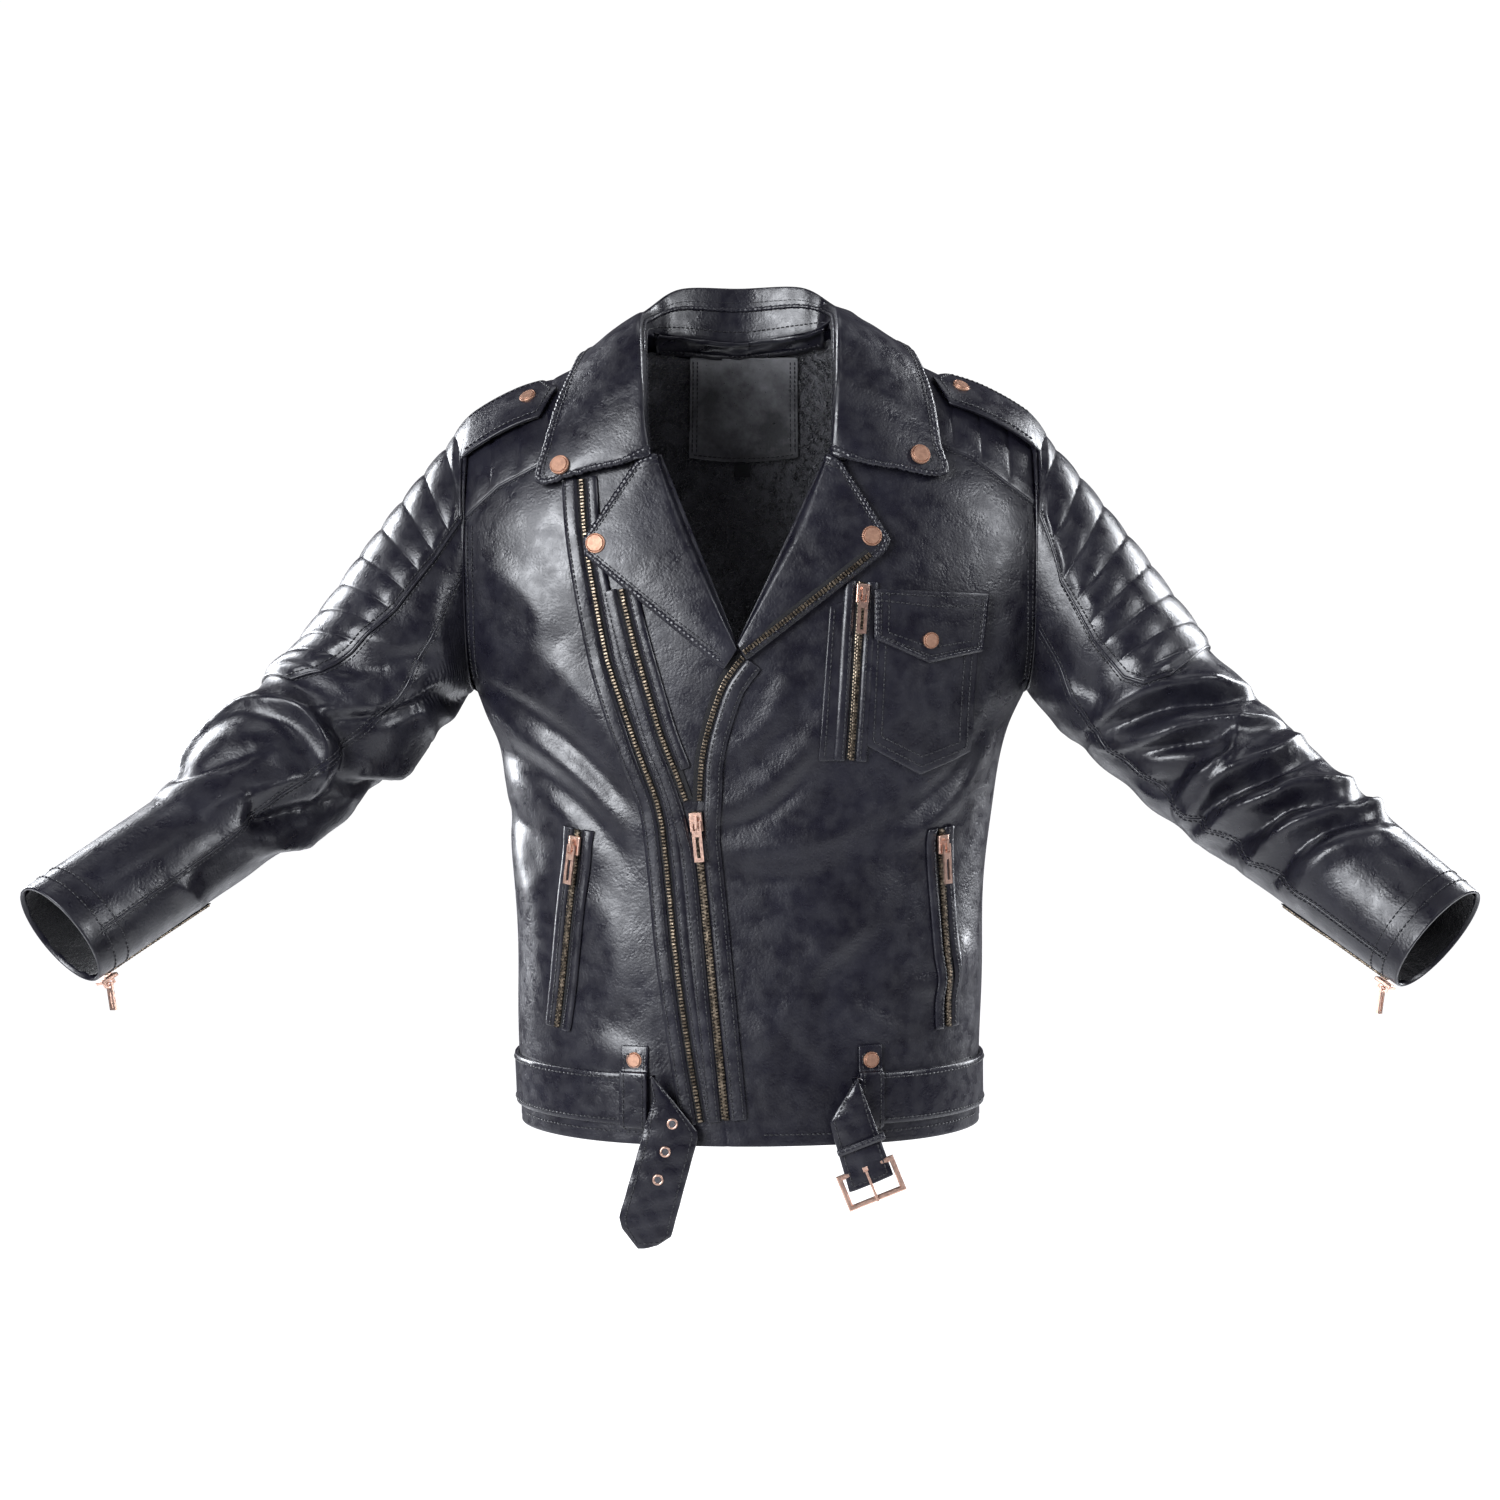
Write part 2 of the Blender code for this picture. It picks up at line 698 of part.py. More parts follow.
def lapel_chain():
    """The chain that runs up the left lapel's lower edge."""
    low, high = LAPEL_OUTER["left"][3], LAPEL_OUTER["left"][2]
    spots = []
    lift = LAPEL_LIFT + LAPEL_THICKNESS + GAP
    for k in range(13):
        x, z = Vector(low).lerp(Vector(high), mix(0.03, 0.90, k / 12))
        spots.append(torso_spot(x - 0.0030, z + 0.0042, -1, lift))
    grid = []
    for i, (point, normal) in enumerate(spots):
        ahead, behind = spots[min(i + 1, 12)][0], spots[max(i - 1, 0)][0]
        across = normal.cross(ahead - behind).normalized() * 0.0030
        grid.append([(point - across, normal), (point, normal), (point + across, normal)])
    sheet("left_lapel_chain", grid, 0.0020, "brass", roll_axis("left")[0])


def second_zip():
    path = [(-0.1254, -0.1063), (-0.1245, -0.1260), (-0.1190, -0.1645), (-0.1095, -0.2162)]
    path += [(-0.1026, -0.2405), (-0.0855, -0.2887), (-0.0687, -0.3364), (-0.0630, -0.3790)]
    path += [(-0.0563, -0.4466), (-0.0466, -0.5202), (-0.0372, -0.5762)]
    ribbon("second_zip_chain", path, 0.0065, GAP, CHAIN, "brass", 40)


def chest_zip():
    welt = [(0.0607, -0.1864), (0.0519, -0.3010)], [(0.0740, -0.1811), (0.0672, -0.3010)]
    low = [welt[0][1], welt[1][1]]
    high = [welt[0][0], welt[1][0]]
    left = [welt[0][1], welt[0][0]]
    right = [welt[1][1], welt[1][0]]
    sheet("chest_zip_welt", filled(low, high, left, right, 3, 14, -1, GAP), 0.0026, "leather")
    matrix = zip_bar("chest_zip_tape", (0.0836, -0.1680), (0.0750, -0.3010), 0.0120, TAPE, "tape")
    return slider("chest_slider", matrix, 0.0080)


def hip_zips():
    right = zip_bar("right_hip_zip_tape", (-0.1300, -0.3560), (-0.1480, -0.5100), 0.0130, TAPE, "tape")
    left = zip_bar("left_hip_zip_tape", (0.1450, -0.3560), (0.1520, -0.5100), 0.0130, TAPE, "tape")
    return slider("right_hip_slider", right, 0.0120), slider("left_hip_slider", left, 0.0120)


# ---------------------------------------------------------------- chest pocket


def pocket():
    """Pointed patch pocket and the flap over its mouth. The flap's origin is on its top edge."""
    top = [(0.0930, -0.1780), (0.1740, -0.1830)]
    bottom = [(0.0875, -0.2895), (0.1287, -0.3125), (0.1680, -0.2962)]
    left = [bottom[0], top[0]]
    right = [bottom[-1], top[-1]]
    sheet("chest_pocket", filled(bottom, top, left, right, 8, 8, -1, GAP), 0.0024, "leather")
    lift = GAP + 0.0024 + GAP
    top = [(0.0932, -0.1740), (0.1788, -0.1763)]
    bottom = [(0.0932, -0.2096), (0.1338, -0.2271), (0.1745, -0.2182)]
    grid = filled(bottom, top, [bottom[0], top[0]], [bottom[-1], top[-1]], 10, 5, -1, lift)
    sheet("chest_flap", grid, 0.0024, "leather", flap_axis()[0])
    torso_snap("flap_snap", 0.1340, -0.2110, lift + 0.0024 + 0.0004, 0.0060)


def flap_axis():
    """(middle of the flap's hinge line, its direction)."""
    lift = 2 * GAP + 0.0024
    a = torso_spot(0.0932, -0.1740, -1, lift)[0]
    b = torso_spot(0.1788, -0.1763, -1, lift)[0]
    return a.lerp(b, 0.5), (b - a).normalized()


# ---------------------------------------------------------------- epaulettes

EPAULETTE_LIFT = QUILT - LEATHER + GAP
EPAULETTE_THICKNESS = 0.0030
EPAULETTE_END_X = 0.2140
EPAULETTE_HALF_TURN = 0.24
EPAULETTE_MIDDLE = {"right": -0.50, "left": -0.42}
EPAULETTE_NECK_X = {"right": 0.1560, "left": 0.1480}


def epaulette(side, hand):
    """Strap along the shoulder with a pointed neck end. It lifts about its shoulder end."""
    middle = EPAULETTE_MIDDLE[side]
    tip_x = EPAULETTE_NECK_X[side]
    grid = []
    rows = 12
    for j in range(rows + 1):
        line = []
        for i in range(5):
            turn = mix(-1, 1, i / 4)
            start = tip_x + 0.012 * abs(turn)
            x = hand * mix(start, EPAULETTE_END_X, j / rows)
            line.append(shoulder_spot(x, middle + EPAULETTE_HALF_TURN * turn, EPAULETTE_LIFT))
        grid.append(line)
    sheet(f"{side}_epaulette", grid, EPAULETTE_THICKNESS, "leather", epaulette_axis(side, hand)[0])
    lift = EPAULETTE_LIFT + EPAULETTE_THICKNESS + 0.0003
    point, normal = shoulder_spot(hand * (tip_x + 0.013), middle, lift)
    snap(f"{side}_epaulette_snap", point, normal, 0.0062)


def epaulette_axis(side, hand):
    middle = EPAULETTE_MIDDLE[side]
    front = shoulder_spot(hand * EPAULETTE_END_X, middle - EPAULETTE_HALF_TURN, EPAULETTE_LIFT)[0]
    back = shoulder_spot(hand * EPAULETTE_END_X, middle + EPAULETTE_HALF_TURN, EPAULETTE_LIFT)[0]
    return front.lerp(back, 0.5), (back - front).normalized()


# ---------------------------------------------------------------- belt

BELT_TOP = -0.5420
BELT_BOTTOM = -0.5780
BELT_LIFT = 0.0010
STRAP_Y = -0.1280
STRAP_THICKNESS = 0.0030
LOOP_X = {"right": (-0.0961, -0.0775), "left": (0.0830, 0.0990)}
BUCKLE_BAR = (Vector((0.0677, STRAP_Y, -0.6178)), Vector((0.1065, STRAP_Y, -0.6020)))
BAR_RADIUS = 0.0015


def belt_back():
    """The band around the back, with its ends under the loops."""
    columns = 48
    right_end, left_end = -0.0780, 0.0835
    a = between(TORSO, BELT_TOP, 1)
    start = math.asin((-right_end / a) ** (SQUARENESS / 2))
    end = math.asin((left_end / a) ** (SQUARENESS / 2))
    grid = []
    for z in (BELT_BOTTOM, mix(BELT_BOTTOM, BELT_TOP, 0.5), BELT_TOP):
        line = []
        for i in range(columns + 1):
            angle = mix(start - math.pi, math.pi - end, i / columns)
            sine, cosine = math.sin(angle), math.cos(angle)
            x = math.copysign(abs(sine) ** (2 / SQUARENESS), sine) * between(TORSO, z, 1)
            line.append(torso_spot(x, z, 1 if cosine > 0 else -1, BELT_LIFT))
        grid.append(line)
    sheet("belt_back", grid, LEATHER, "leather")


def belt_loop(side):
    """A loop over the band, standing on the jacket above and below it. It opens downwards."""
    low_x, high_x = LOOP_X[side]
    over = BELT_LIFT + LEATHER + 2 * GAP
    stations = (
        (-0.5860, GAP),
        (-0.5825, GAP + 0.0004),
        (-0.5795, over),
        (-0.5600, over),
        (-0.5405, over),
        (-0.5375, GAP + 0.0004),
        (-0.5198, GAP),
    )
    grid = []
    for z, lift in stations:
        grid.append([torso_spot(mix(low_x, high_x, i / 3), z, -1, lift) for i in range(4)])
    sheet(f"{side}_belt_loop", grid, 0.0024, "leather", loop_axis(side)[0])
    middle = (low_x + high_x) / 2
    torso_snap(f"{side}_loop_snap", middle, -0.5300, GAP + 0.0024 + 0.0006, 0.0060)


def loop_axis(side):
    low_x, high_x = LOOP_X[side]
    a = torso_spot(low_x, -0.5860, -1, GAP)[0]
    b = torso_spot(high_x, -0.5860, -1, GAP)[0]
    return a.lerp(b, 0.5), (b - a).normalized()


def plate_work(outline, thickness):
    """An outline of (x, z), extruded along Y about the middle."""
    work = bmesh.new()
    verts = [work.verts.new((x, -thickness / 2, z)) for x, z in outline]
    face = work.faces.new(verts)
    moved = bmesh.ops.extrude_face_region(work, geom=[face])["geom"]
    for vert in moved:
        if isinstance(vert, bmesh.types.BMVert):
            vert.co.y += thickness
    return work


def rod(name, start, end, radius, kind="rose_gold", sides=16):
    """A round bar between two points."""
    start, end = Vector(start), Vector(end)
    work = bmesh.new()
    bmesh.ops.create_cone(
        work, cap_ends=True, segments=sides, radius1=radius, radius2=radius, depth=(end - start).length
    )
    turn = (end - start).to_track_quat("Z", "Y").to_matrix().to_4x4()
    return add_object(name, work, kind, Matrix.Translation((start + end) / 2) @ turn)


def strap(name, outline, pivot, thickness):
    """A hanging strap whose origin is on the line it swings about."""
    moved = [(x - pivot[0], z - pivot[2]) for x, z in outline]
    return add_object(name, plate_work(moved, thickness), "leather", Matrix.Translation(pivot))


TONGUE_PIVOT = (-0.0585, STRAP_Y, -0.5440)
BUCKLE_PIVOT = (0.0800, STRAP_Y, -0.5440)


def belt_tongue():
    outline = [(-0.0745, -0.5400), (-0.0745, -0.5640), (-0.0990, -0.6480), (-0.0940, -0.6610)]
    outline += [(-0.0844, -0.6726), (-0.0720, -0.6720), (-0.0625, -0.6640), (-0.0425, -0.5870)]
    outline += [(-0.0425, -0.5400)]
    body = strap("belt_tongue", outline, TONGUE_PIVOT, STRAP_THICKNESS)
    bevel(body, 0.0006, 1)
    for k, (x, z) in enumerate(((-0.0586, -0.5753), (-0.0640, -0.5965), (-0.0695, -0.6178))):
        cutter = rod(f"eyelet_{k}", (x, STRAP_Y - 0.01, z), (x, STRAP_Y + 0.01, z), 0.0024, "leather")
        cut(body, cutter)


def buckle_frame_vectors():
    """(bar start, along the bar, from the bar to the far side of the frame)."""
    start, end = BUCKLE_BAR
    side = (end - start).normalized()
    down = Vector((side.z, 0, -side.x))
    return start, end, side, down


def belt_buckle_strap():
    start, end, side, down = buckle_frame_vectors()
    thickness = 0.0056
    inset, tail = 0.0032, 0.0075
    corner_a = start + side * inset + down * tail
    corner_b = end - side * inset + down * tail
    outline = [(0.0610, -0.5400), (0.0600, -0.5790), (corner_a.x, corner_a.z)]
    outline += [(corner_b.x, corner_b.z), (0.1010, -0.5990), (0.0815, -0.5980), (0.0815, -0.5400)]
    body = strap("belt_buckle_strap", outline, BUCKLE_PIVOT, thickness)
    bevel(body, 0.0006, 1)
    cut(body, rod("bar_hole", start - side * 0.01, end + side * 0.01, BAR_RADIUS + 0.0005, "leather"))
    middle = (start + end) / 2
    half, low, high = 0.0030, 0.0200, -0.0050
    corners = ((-half, low), (half, low), (half, high), (-half, high))
    notch = [middle + side * a + down * b for a, b in corners]
    work = plate_work([(p.x - middle.x, p.z - middle.z) for p in notch], 0.03)
    cut(body, add_object("prong_slot", work, "leather", Matrix.Translation(middle)))


def buckle():
    """Rectangular frame on its bar, and the prong on the same bar."""
    start, end, side, down = buckle_frame_vectors()
    drop = 0.0240
    corners = [start, end, end + down * drop, start + down * drop]
    frame = rod("buckle_frame", corners[0], corners[1], BAR_RADIUS)
    for k in (1, 2, 3):
        a, b = corners[k], corners[(k + 1) % 4]
        reach = (b - a).normalized() * BAR_RADIUS * 0.7
        join(frame, rod(f"frame_side_{k}", a - reach, b + reach, BAR_RADIUS * (1.0 + 0.04 * k)))
    middle = (start + end) / 2
    eye = rod("buckle_prong", middle - side * 0.0020, middle + side * 0.0020, 0.0034)
    front = Vector((0, -1, 0)) * (BAR_RADIUS * 2 + 0.0006)
    reach = middle + down * (drop + 0.0020) + front
    join(eye, rod("prong_arm", middle + front * 0.8 + down * 0.0012, reach, 0.0011))
    cut(eye, rod("prong_eye", middle - side * 0.01, middle + side * 0.01, BAR_RADIUS + 0.0005))


# ---------------------------------------------------------------- sleeves


def arm_frame(side):
    """Elbow, wrist, unit vectors from the elbow up and down the arm, and the hinge axis."""
    elbow, wrist = Vector(ELBOW[side]), Vector(WRIST[side])
    hand = -1 if side == "right" else 1
    top = Vector((hand * (ARMHOLE_X - 0.020), *ARM_TOP))
    up = (top - elbow).normalized()
    down = (wrist - elbow).normalized()
    return elbow, wrist, up, down, up.cross(down).normalized()


def around(up, inner, share):
    """The unit vector at this share of a turn around `up`, starting on the inner side."""
    turn = share * 2 * math.pi
    return inner * math.cos(turn) + up.cross(inner) * math.sin(turn)


def ball_limits(up, down):
    """Angle where the forearm leaves the ball, and the upper rim's angles inside and outside."""
    neck = math.asin(ELBOW_RADIUS / (BALL_RADIUS - LEATHER))
    between_arms = up.angle(down)
    inner = between_arms - neck - ELBOW_BENDS - BALL_MARGIN
    outer = 2 * math.pi - between_arms - neck - ELBOW_OPENS - BALL_MARGIN
    return neck, inner, outer


def upper_spots(side, share, tube_rows=8, ball_rows=6):
    """One line of points down the upper sleeve, from the armhole to the ball's rim."""
    elbow, _, up, down, _ = arm_frame(side)
    hand = -1 if side == "right" else 1
    inner = (down - up * down.dot(up)).normalized()
    _, rim_inner, rim_outer = ball_limits(up, down)
    outward = around(up, inner, share)
    neck = math.asin(ELBOW_RADIUS / BALL_RADIUS)
    join_point = elbow + (up * math.cos(neck) + outward * math.sin(neck)) * BALL_RADIUS
    head = head_point(hand, up, inner, share)
    points = []
    for k in range(tube_rows):
        t = k / tube_rows
        straight = head.lerp(join_point, t)
        bulge = math.sin(math.pi * min(1.0, t * 1.1)) * 0.004
        points.append(straight + outward * bulge)
    rim = mix(rim_outer, rim_inner, (1 + math.cos(share * 2 * math.pi)) / 2)
    for k in range(ball_rows + 1):
        angle = mix(neck, rim, k / ball_rows)
        points.append(elbow + (up * math.cos(angle) + outward * math.sin(angle)) * BALL_RADIUS)
    return points


def head_point(hand, up, inner, share):
    """The sleeve's first ring, in the armhole's plane."""
    outward = around(up, inner, share)
    flat = Vector((0, outward.y, outward.z)).normalized()
    x = hand * (ARMHOLE_X + 0.0006)
    centre = Vector((x, *ARM_TOP))
    reach = (abs(flat.y / ARM_TOP_DEPTH) ** SQUARENESS + abs(flat.z / ARM_TOP_HEIGHT) ** SQUARENESS)
    return centre + flat * reach ** (-1 / SQUARENESS)


def turned_in(lines, depth):
    """Pairs a ring grid's points with outward normals and moves them in by `depth`."""
    count = len(lines)
    grid = []
    for j in range(len(lines[0])):
        row = []
        for i in range(count):
            across = lines[(i + 1) % count][j] - lines[i - 1][j]
            ahead = lines[i][min(j + 1, len(lines[0]) - 1)] - lines[i][max(j - 1, 0)]
            row.append((lines[i][j], ahead.cross(across).normalized()))
        grid.append(row)
    centre = sum((p for p, _ in grid[0]), Vector()) / count
    if sum(n.dot(p - centre) for p, n in grid[0]) < 0:
        grid = [[(p, -n) for p, n in row] for row in grid]
    return [[(p - n * depth, n) for p, n in row] for row in grid]


def upper_sleeve(side):
    lines = [upper_spots(side, i / SLEEVE_SIDES) for i in range(SLEEVE_SIDES)]
    grid = turned_in(lines, LEATHER)
    hand = -1 if side == "right" else 1
    flat = []
    for point, normal in grid[0]:
        normal = Vector((0, normal.y, normal.z)).normalized()
        flat.append((Vector((hand * (ARMHOLE_X + 0.0006), point.y, point.z)), normal))
    grid[0] = flat
    sheet(f"{side}_upper_sleeve", grid, LEATHER, "leather", ring=True)
    return lines


def sleeve_pad(side, lines):
    """Ribbed pad over the outer half of the upper sleeve."""
    full = turned_in(lines, -GAP - 0.0002)
    _, _, up, down, _ = arm_frame(side)
    inner = (down - up * down.dot(up)).normalized()
    top = Vector((0, 0, 1)) - up * up.z
    columns = sorted(range(SLEEVE_SIDES), key=lambda i: -around(up, inner, i / SLEEVE_SIDES).dot(top))
    first = columns[0]
    half = 4
    grid = []
    for j in range(1, 9):
        row = full[j]
        grid.append([row[(first + k) % SLEEVE_SIDES] for k in range(-half, half + 1)])
    sheet(f"{side}_sleeve_pad", grid, PAD, "leather")


def forearm_sleeve(side):
    """Forearm tube with the inner ball skin. Its origin is the elbow centre."""
    elbow, wrist, up, down, _ = arm_frame(side)
    inner = (up - down * up.dot(down)).normalized()
    radius = BALL_RADIUS - LEATHER - BALL_GAP
    neck = math.asin(ELBOW_RADIUS / radius)
    lines = []
    for i in range(SLEEVE_SIDES):
        outward = around(down, inner, i / SLEEVE_SIDES)
        points = []
        for k in range(8):
            angle = mix(neck + reach_past_neck(up, down), neck, k / 7)
            points.append(elbow + (down * math.cos(angle) + outward * math.sin(angle)) * radius)
        start = points[-1]
        finish = wrist + outward * WRIST_RADIUS
        for k in range(1, 5):
            points.append(start.lerp(finish, k / 4))
        lines.append(points)
    sheet(f"{side}_forearm_sleeve", turned_in(lines, LEATHER), LEATHER, "leather", elbow, ring=True)


def reach_past_neck(up, down):
    """How far the forearm's ball skin runs behind its neck to stay under the upper rim."""
    neck, inner, outer = ball_limits(up, down)
    opened = up.angle(down) + ELBOW_OPENS - inner - neck
    bent = 2 * math.pi - up.angle(down) + ELBOW_BENDS - outer - neck
    return max(opened, bent) + BALL_MARGIN


CUFF_ZIP = 0.110


def cuff_zip(side):
    """Tape, slider and pull under the forearm, ending at the cuff."""
    elbow, wrist, up, down, _ = arm_frame(side)
    below = Vector((0, -0.25, -1))
    outward = (below - down * below.dot(down)).normalized()
    start = elbow + down * math.sqrt(BALL_RADIUS**2 - ELBOW_RADIUS**2) + outward * ELBOW_RADIUS
    finish = wrist + outward * WRIST_RADIUS
    slope = (finish - start).normalized()
    normal = (outward - slope * outward.dot(slope)).normalized()
    base = finish - slope * 0.004 + normal * (GAP + 0.0003)
    matrix = facing(base, normal, -slope)
    tape = box_work((-0.0055, -CUFF_ZIP, 0), (0.0055, 0, TAPE))
    bevel(add_object(f"{side}_cuff_zip_tape", tape, "tape", matrix), 0.0005, 1)
    track = matrix @ Matrix.Translation((0, 0, TAPE + GAP))
    pivot = slider(f"{side}_cuff_slider", track, 0.0090)
    pull(f"{side}_cuff_pull", pivot)


def sleeves():
    for side in ("right", "left"):
        lines = upper_sleeve(side)
        sleeve_pad(side, lines)
        forearm_sleeve(side)
        cuff_zip(side)


def build():
    clear_scene()
    body_panels()
    lining()
    neck_patch()
    collar()
    for side, hand in (("right", -1), ("left", 1)):
        lapel(side, hand)
        epaulette(side, hand)
        belt_loop(side)
    snaps()
    pull("main_pull", main_zip())
    lapel_chain()
    second_zip()
    pull("chest_pull", chest_zip())
    right_hip, left_hip = hip_zips()
    pull("right_hip_pull", right_hip)
    pull("left_hip_pull", left_hip)
    pocket()
    belt_back()
    belt_tongue()
    belt_buckle_strap()
    buckle()
    sleeves()


build()
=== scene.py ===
"""Leather riding jacket: the looks of each sewn piece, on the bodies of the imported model."""

import math

import bpy
import numpy as np
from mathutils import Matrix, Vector


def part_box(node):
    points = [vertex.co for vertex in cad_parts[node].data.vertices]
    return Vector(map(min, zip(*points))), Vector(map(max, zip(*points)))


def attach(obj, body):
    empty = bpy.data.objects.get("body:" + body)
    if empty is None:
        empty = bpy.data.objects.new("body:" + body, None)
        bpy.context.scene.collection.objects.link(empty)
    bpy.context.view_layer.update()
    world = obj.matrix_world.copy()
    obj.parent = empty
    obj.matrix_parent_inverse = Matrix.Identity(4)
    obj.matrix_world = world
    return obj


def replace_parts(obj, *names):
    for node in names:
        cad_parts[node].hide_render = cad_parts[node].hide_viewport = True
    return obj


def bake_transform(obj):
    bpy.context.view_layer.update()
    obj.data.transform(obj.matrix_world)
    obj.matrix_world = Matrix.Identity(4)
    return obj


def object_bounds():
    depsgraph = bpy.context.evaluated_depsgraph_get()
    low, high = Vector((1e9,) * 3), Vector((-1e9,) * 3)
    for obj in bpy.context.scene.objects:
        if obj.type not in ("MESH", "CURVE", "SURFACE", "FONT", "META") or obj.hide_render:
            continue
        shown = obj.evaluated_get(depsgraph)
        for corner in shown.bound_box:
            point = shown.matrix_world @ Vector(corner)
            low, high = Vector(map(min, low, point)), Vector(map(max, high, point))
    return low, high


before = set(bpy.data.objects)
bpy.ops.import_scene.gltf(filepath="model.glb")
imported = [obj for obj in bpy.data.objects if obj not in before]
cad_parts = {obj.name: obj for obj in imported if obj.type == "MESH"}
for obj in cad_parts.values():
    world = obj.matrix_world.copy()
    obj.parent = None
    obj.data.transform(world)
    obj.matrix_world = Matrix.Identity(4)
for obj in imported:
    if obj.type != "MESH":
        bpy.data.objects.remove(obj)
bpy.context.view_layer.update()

# ---------------------------------------------------------------- the garment's forms

# Torso form: height, half width, half depth at the front, half depth at the back.
TORSO = np.array(
    (
        (-0.640, 0.184, 0.122, 0.118),
        (-0.500, 0.185, 0.120, 0.108),
        (-0.400, 0.187, 0.118, 0.103),
        (-0.330, 0.194, 0.120, 0.107),
        (-0.285, 0.204, 0.123, 0.111),
        (-0.250, 0.219, 0.125, 0.114),
        (-0.200, 0.243, 0.124, 0.116),
        (-0.150, 0.256, 0.120, 0.115),
        (-0.060, 0.262, 0.105, 0.105),
        (0.100, 0.262, 0.100, 0.100),
    )
)
# Shoulder line: distance from the middle, height.
RIDGE = np.array(
    (
        (0.000, 0.058),
        (0.050, 0.052),
        (0.090, 0.030),
        (0.140, 0.000),
        (0.180, -0.017),
        (0.222, -0.040),
        (0.270, -0.075),
    )
)
# The power of the torso's rounded-square plan, and the height over which the shoulders round off.
SQUARE = 2.2
ARCH = 0.110
# Where the body ends at the armholes, and the armholes' lowest point.
ARM_X = 0.222
ARM_LOW = -0.250
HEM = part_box("back_panel")[0][2]
FRONT, BACK = -1, 1
FORWARD, UPWARD = (0, -1, 0), (0, 0, 1)
HANDS = {"right": -1, "left": 1}

# Folds on the front: start x, z, end x, z, height (negative for a valley), half width.
FOLDS = (
    (-0.180, -0.206, -0.076, -0.334, 0.0034, 0.013),
    (-0.224, -0.238, -0.086, -0.348, -0.0044, 0.010),
    (-0.222, -0.262, -0.082, -0.364, 0.0037, 0.011),
    (-0.205, -0.290, -0.090, -0.386, -0.0030, 0.010),
    (-0.200, -0.314, -0.110, -0.384, 0.0022, 0.012),
    (-0.215, -0.150, -0.150, -0.215, 0.0034, 0.013),
    (-0.150, -0.120, -0.115, -0.240, -0.0022, 0.012),
    (-0.130, -0.520, -0.060, -0.560, 0.0020, 0.012),
    (-0.200, -0.340, -0.168, -0.400, -0.0028, 0.010),
    (-0.185, -0.360, -0.166, -0.520, 0.0030, 0.012),
    (-0.120, -0.400, -0.105, -0.500, 0.0020, 0.014),
    (0.205, -0.190, 0.140, -0.330, 0.0038, 0.011),
    (0.200, -0.225, 0.120, -0.350, -0.0040, 0.009),
    (0.195, -0.270, 0.105, -0.372, 0.0034, 0.010),
    (0.068, -0.258, -0.034, -0.346, 0.0034, 0.013),
    (0.050, -0.300, -0.032, -0.358, -0.0026, 0.008),
    (0.108, -0.335, -0.028, -0.368, 0.0024, 0.010),
    (0.090, -0.372, -0.018, -0.388, -0.0018, 0.009),
    (0.110, -0.392, 0.040, -0.452, 0.0020, 0.012),
    (0.092, -0.425, 0.035, -0.478, -0.0018, 0.009),
    (0.060, -0.430, -0.008, -0.525, 0.0018, 0.012),
    (0.118, -0.515, 0.060, -0.458, 0.0018, 0.011),
    (0.060, -0.548, 0.020, -0.470, -0.0015, 0.010),
    (0.030, -0.228, -0.020, -0.300, 0.0026, 0.010),
    (0.170, -0.440, 0.120, -0.480, 0.0022, 0.012),
)
BACK_FOLDS = (
    (-0.215, -0.200, -0.100, -0.290, 0.0050, 0.015),
    (0.215, -0.200, 0.100, -0.290, 0.0050, 0.015),
    (-0.200, -0.240, -0.080, -0.330, -0.0040, 0.013),
    (0.200, -0.240, 0.080, -0.330, -0.0040, 0.013),
    (-0.170, -0.420, 0.020, -0.455, 0.0040, 0.018),
    (0.170, -0.400, -0.010, -0.430, 0.0035, 0.016),
    (-0.120, -0.480, 0.130, -0.500, -0.0030, 0.018),
)


def read(table, place, column=1):
    """Reads a column of a table along a smooth curve through its rows."""
    xs, ys = table[:, 0], table[:, column]
    place = np.clip(place, xs[0], xs[-1])
    k = np.clip(np.searchsorted(xs, place, side="right") - 1, 0, len(xs) - 2)
    low = np.maximum(np.arange(len(xs)) - 1, 0)
    high = np.minimum(np.arange(len(xs)) + 1, len(xs) - 1)
    slopes = (ys[high] - ys[low]) / (xs[high] - xs[low])
    width = xs[k + 1] - xs[k]
    s = (place - xs[k]) / width
    rise = (s**3 - 2 * s**2 + s) * slopes[k] * width + (s**3 - s**2) * slopes[k + 1] * width
    return (2 * s**3 - 3 * s**2 + 1) * ys[k] + rise + (3 * s**2 - 2 * s**3) * ys[k + 1]


def unit(v):
    return v / np.maximum(np.linalg.norm(v, axis=-1, keepdims=True), 1e-12)


def mix(a, b, t):
    return a + (b - a) * t


def torso_y(x, z, side):
    wide = np.minimum(np.abs(x) / read(TORSO, z, 1), 1)
    deep = np.where(np.asarray(side) < 0, read(TORSO, z, 2), read(TORSO, z, 3))
    below = np.clip((read(RIDGE, np.abs(x)) - z) / ARCH, 0, 1)
    return side * deep * (1 - wide**SQUARE) ** (1 / SQUARE) * np.sqrt(1 - (1 - below) ** 2)


def torso_level(p, side):
    """Zero on the torso form, negative inside it."""
    x, y, z = p[..., 0], p[..., 1], p[..., 2]
    wide = np.abs(x) / read(TORSO, z, 1)
    deep = np.abs(y) / np.where(np.asarray(side) < 0, read(TORSO, z, 2), read(TORSO, z, 3))
    below = read(RIDGE, np.abs(x)) - z
    plan = np.maximum(1 - wide**SQUARE, 1e-6) ** (1 / SQUARE)
    arched = (deep / plan) ** 2 + (1 - below / ARCH) ** 2 - 1
    return np.where(below >= ARCH, wide**SQUARE + deep**SQUARE - 1, arched)


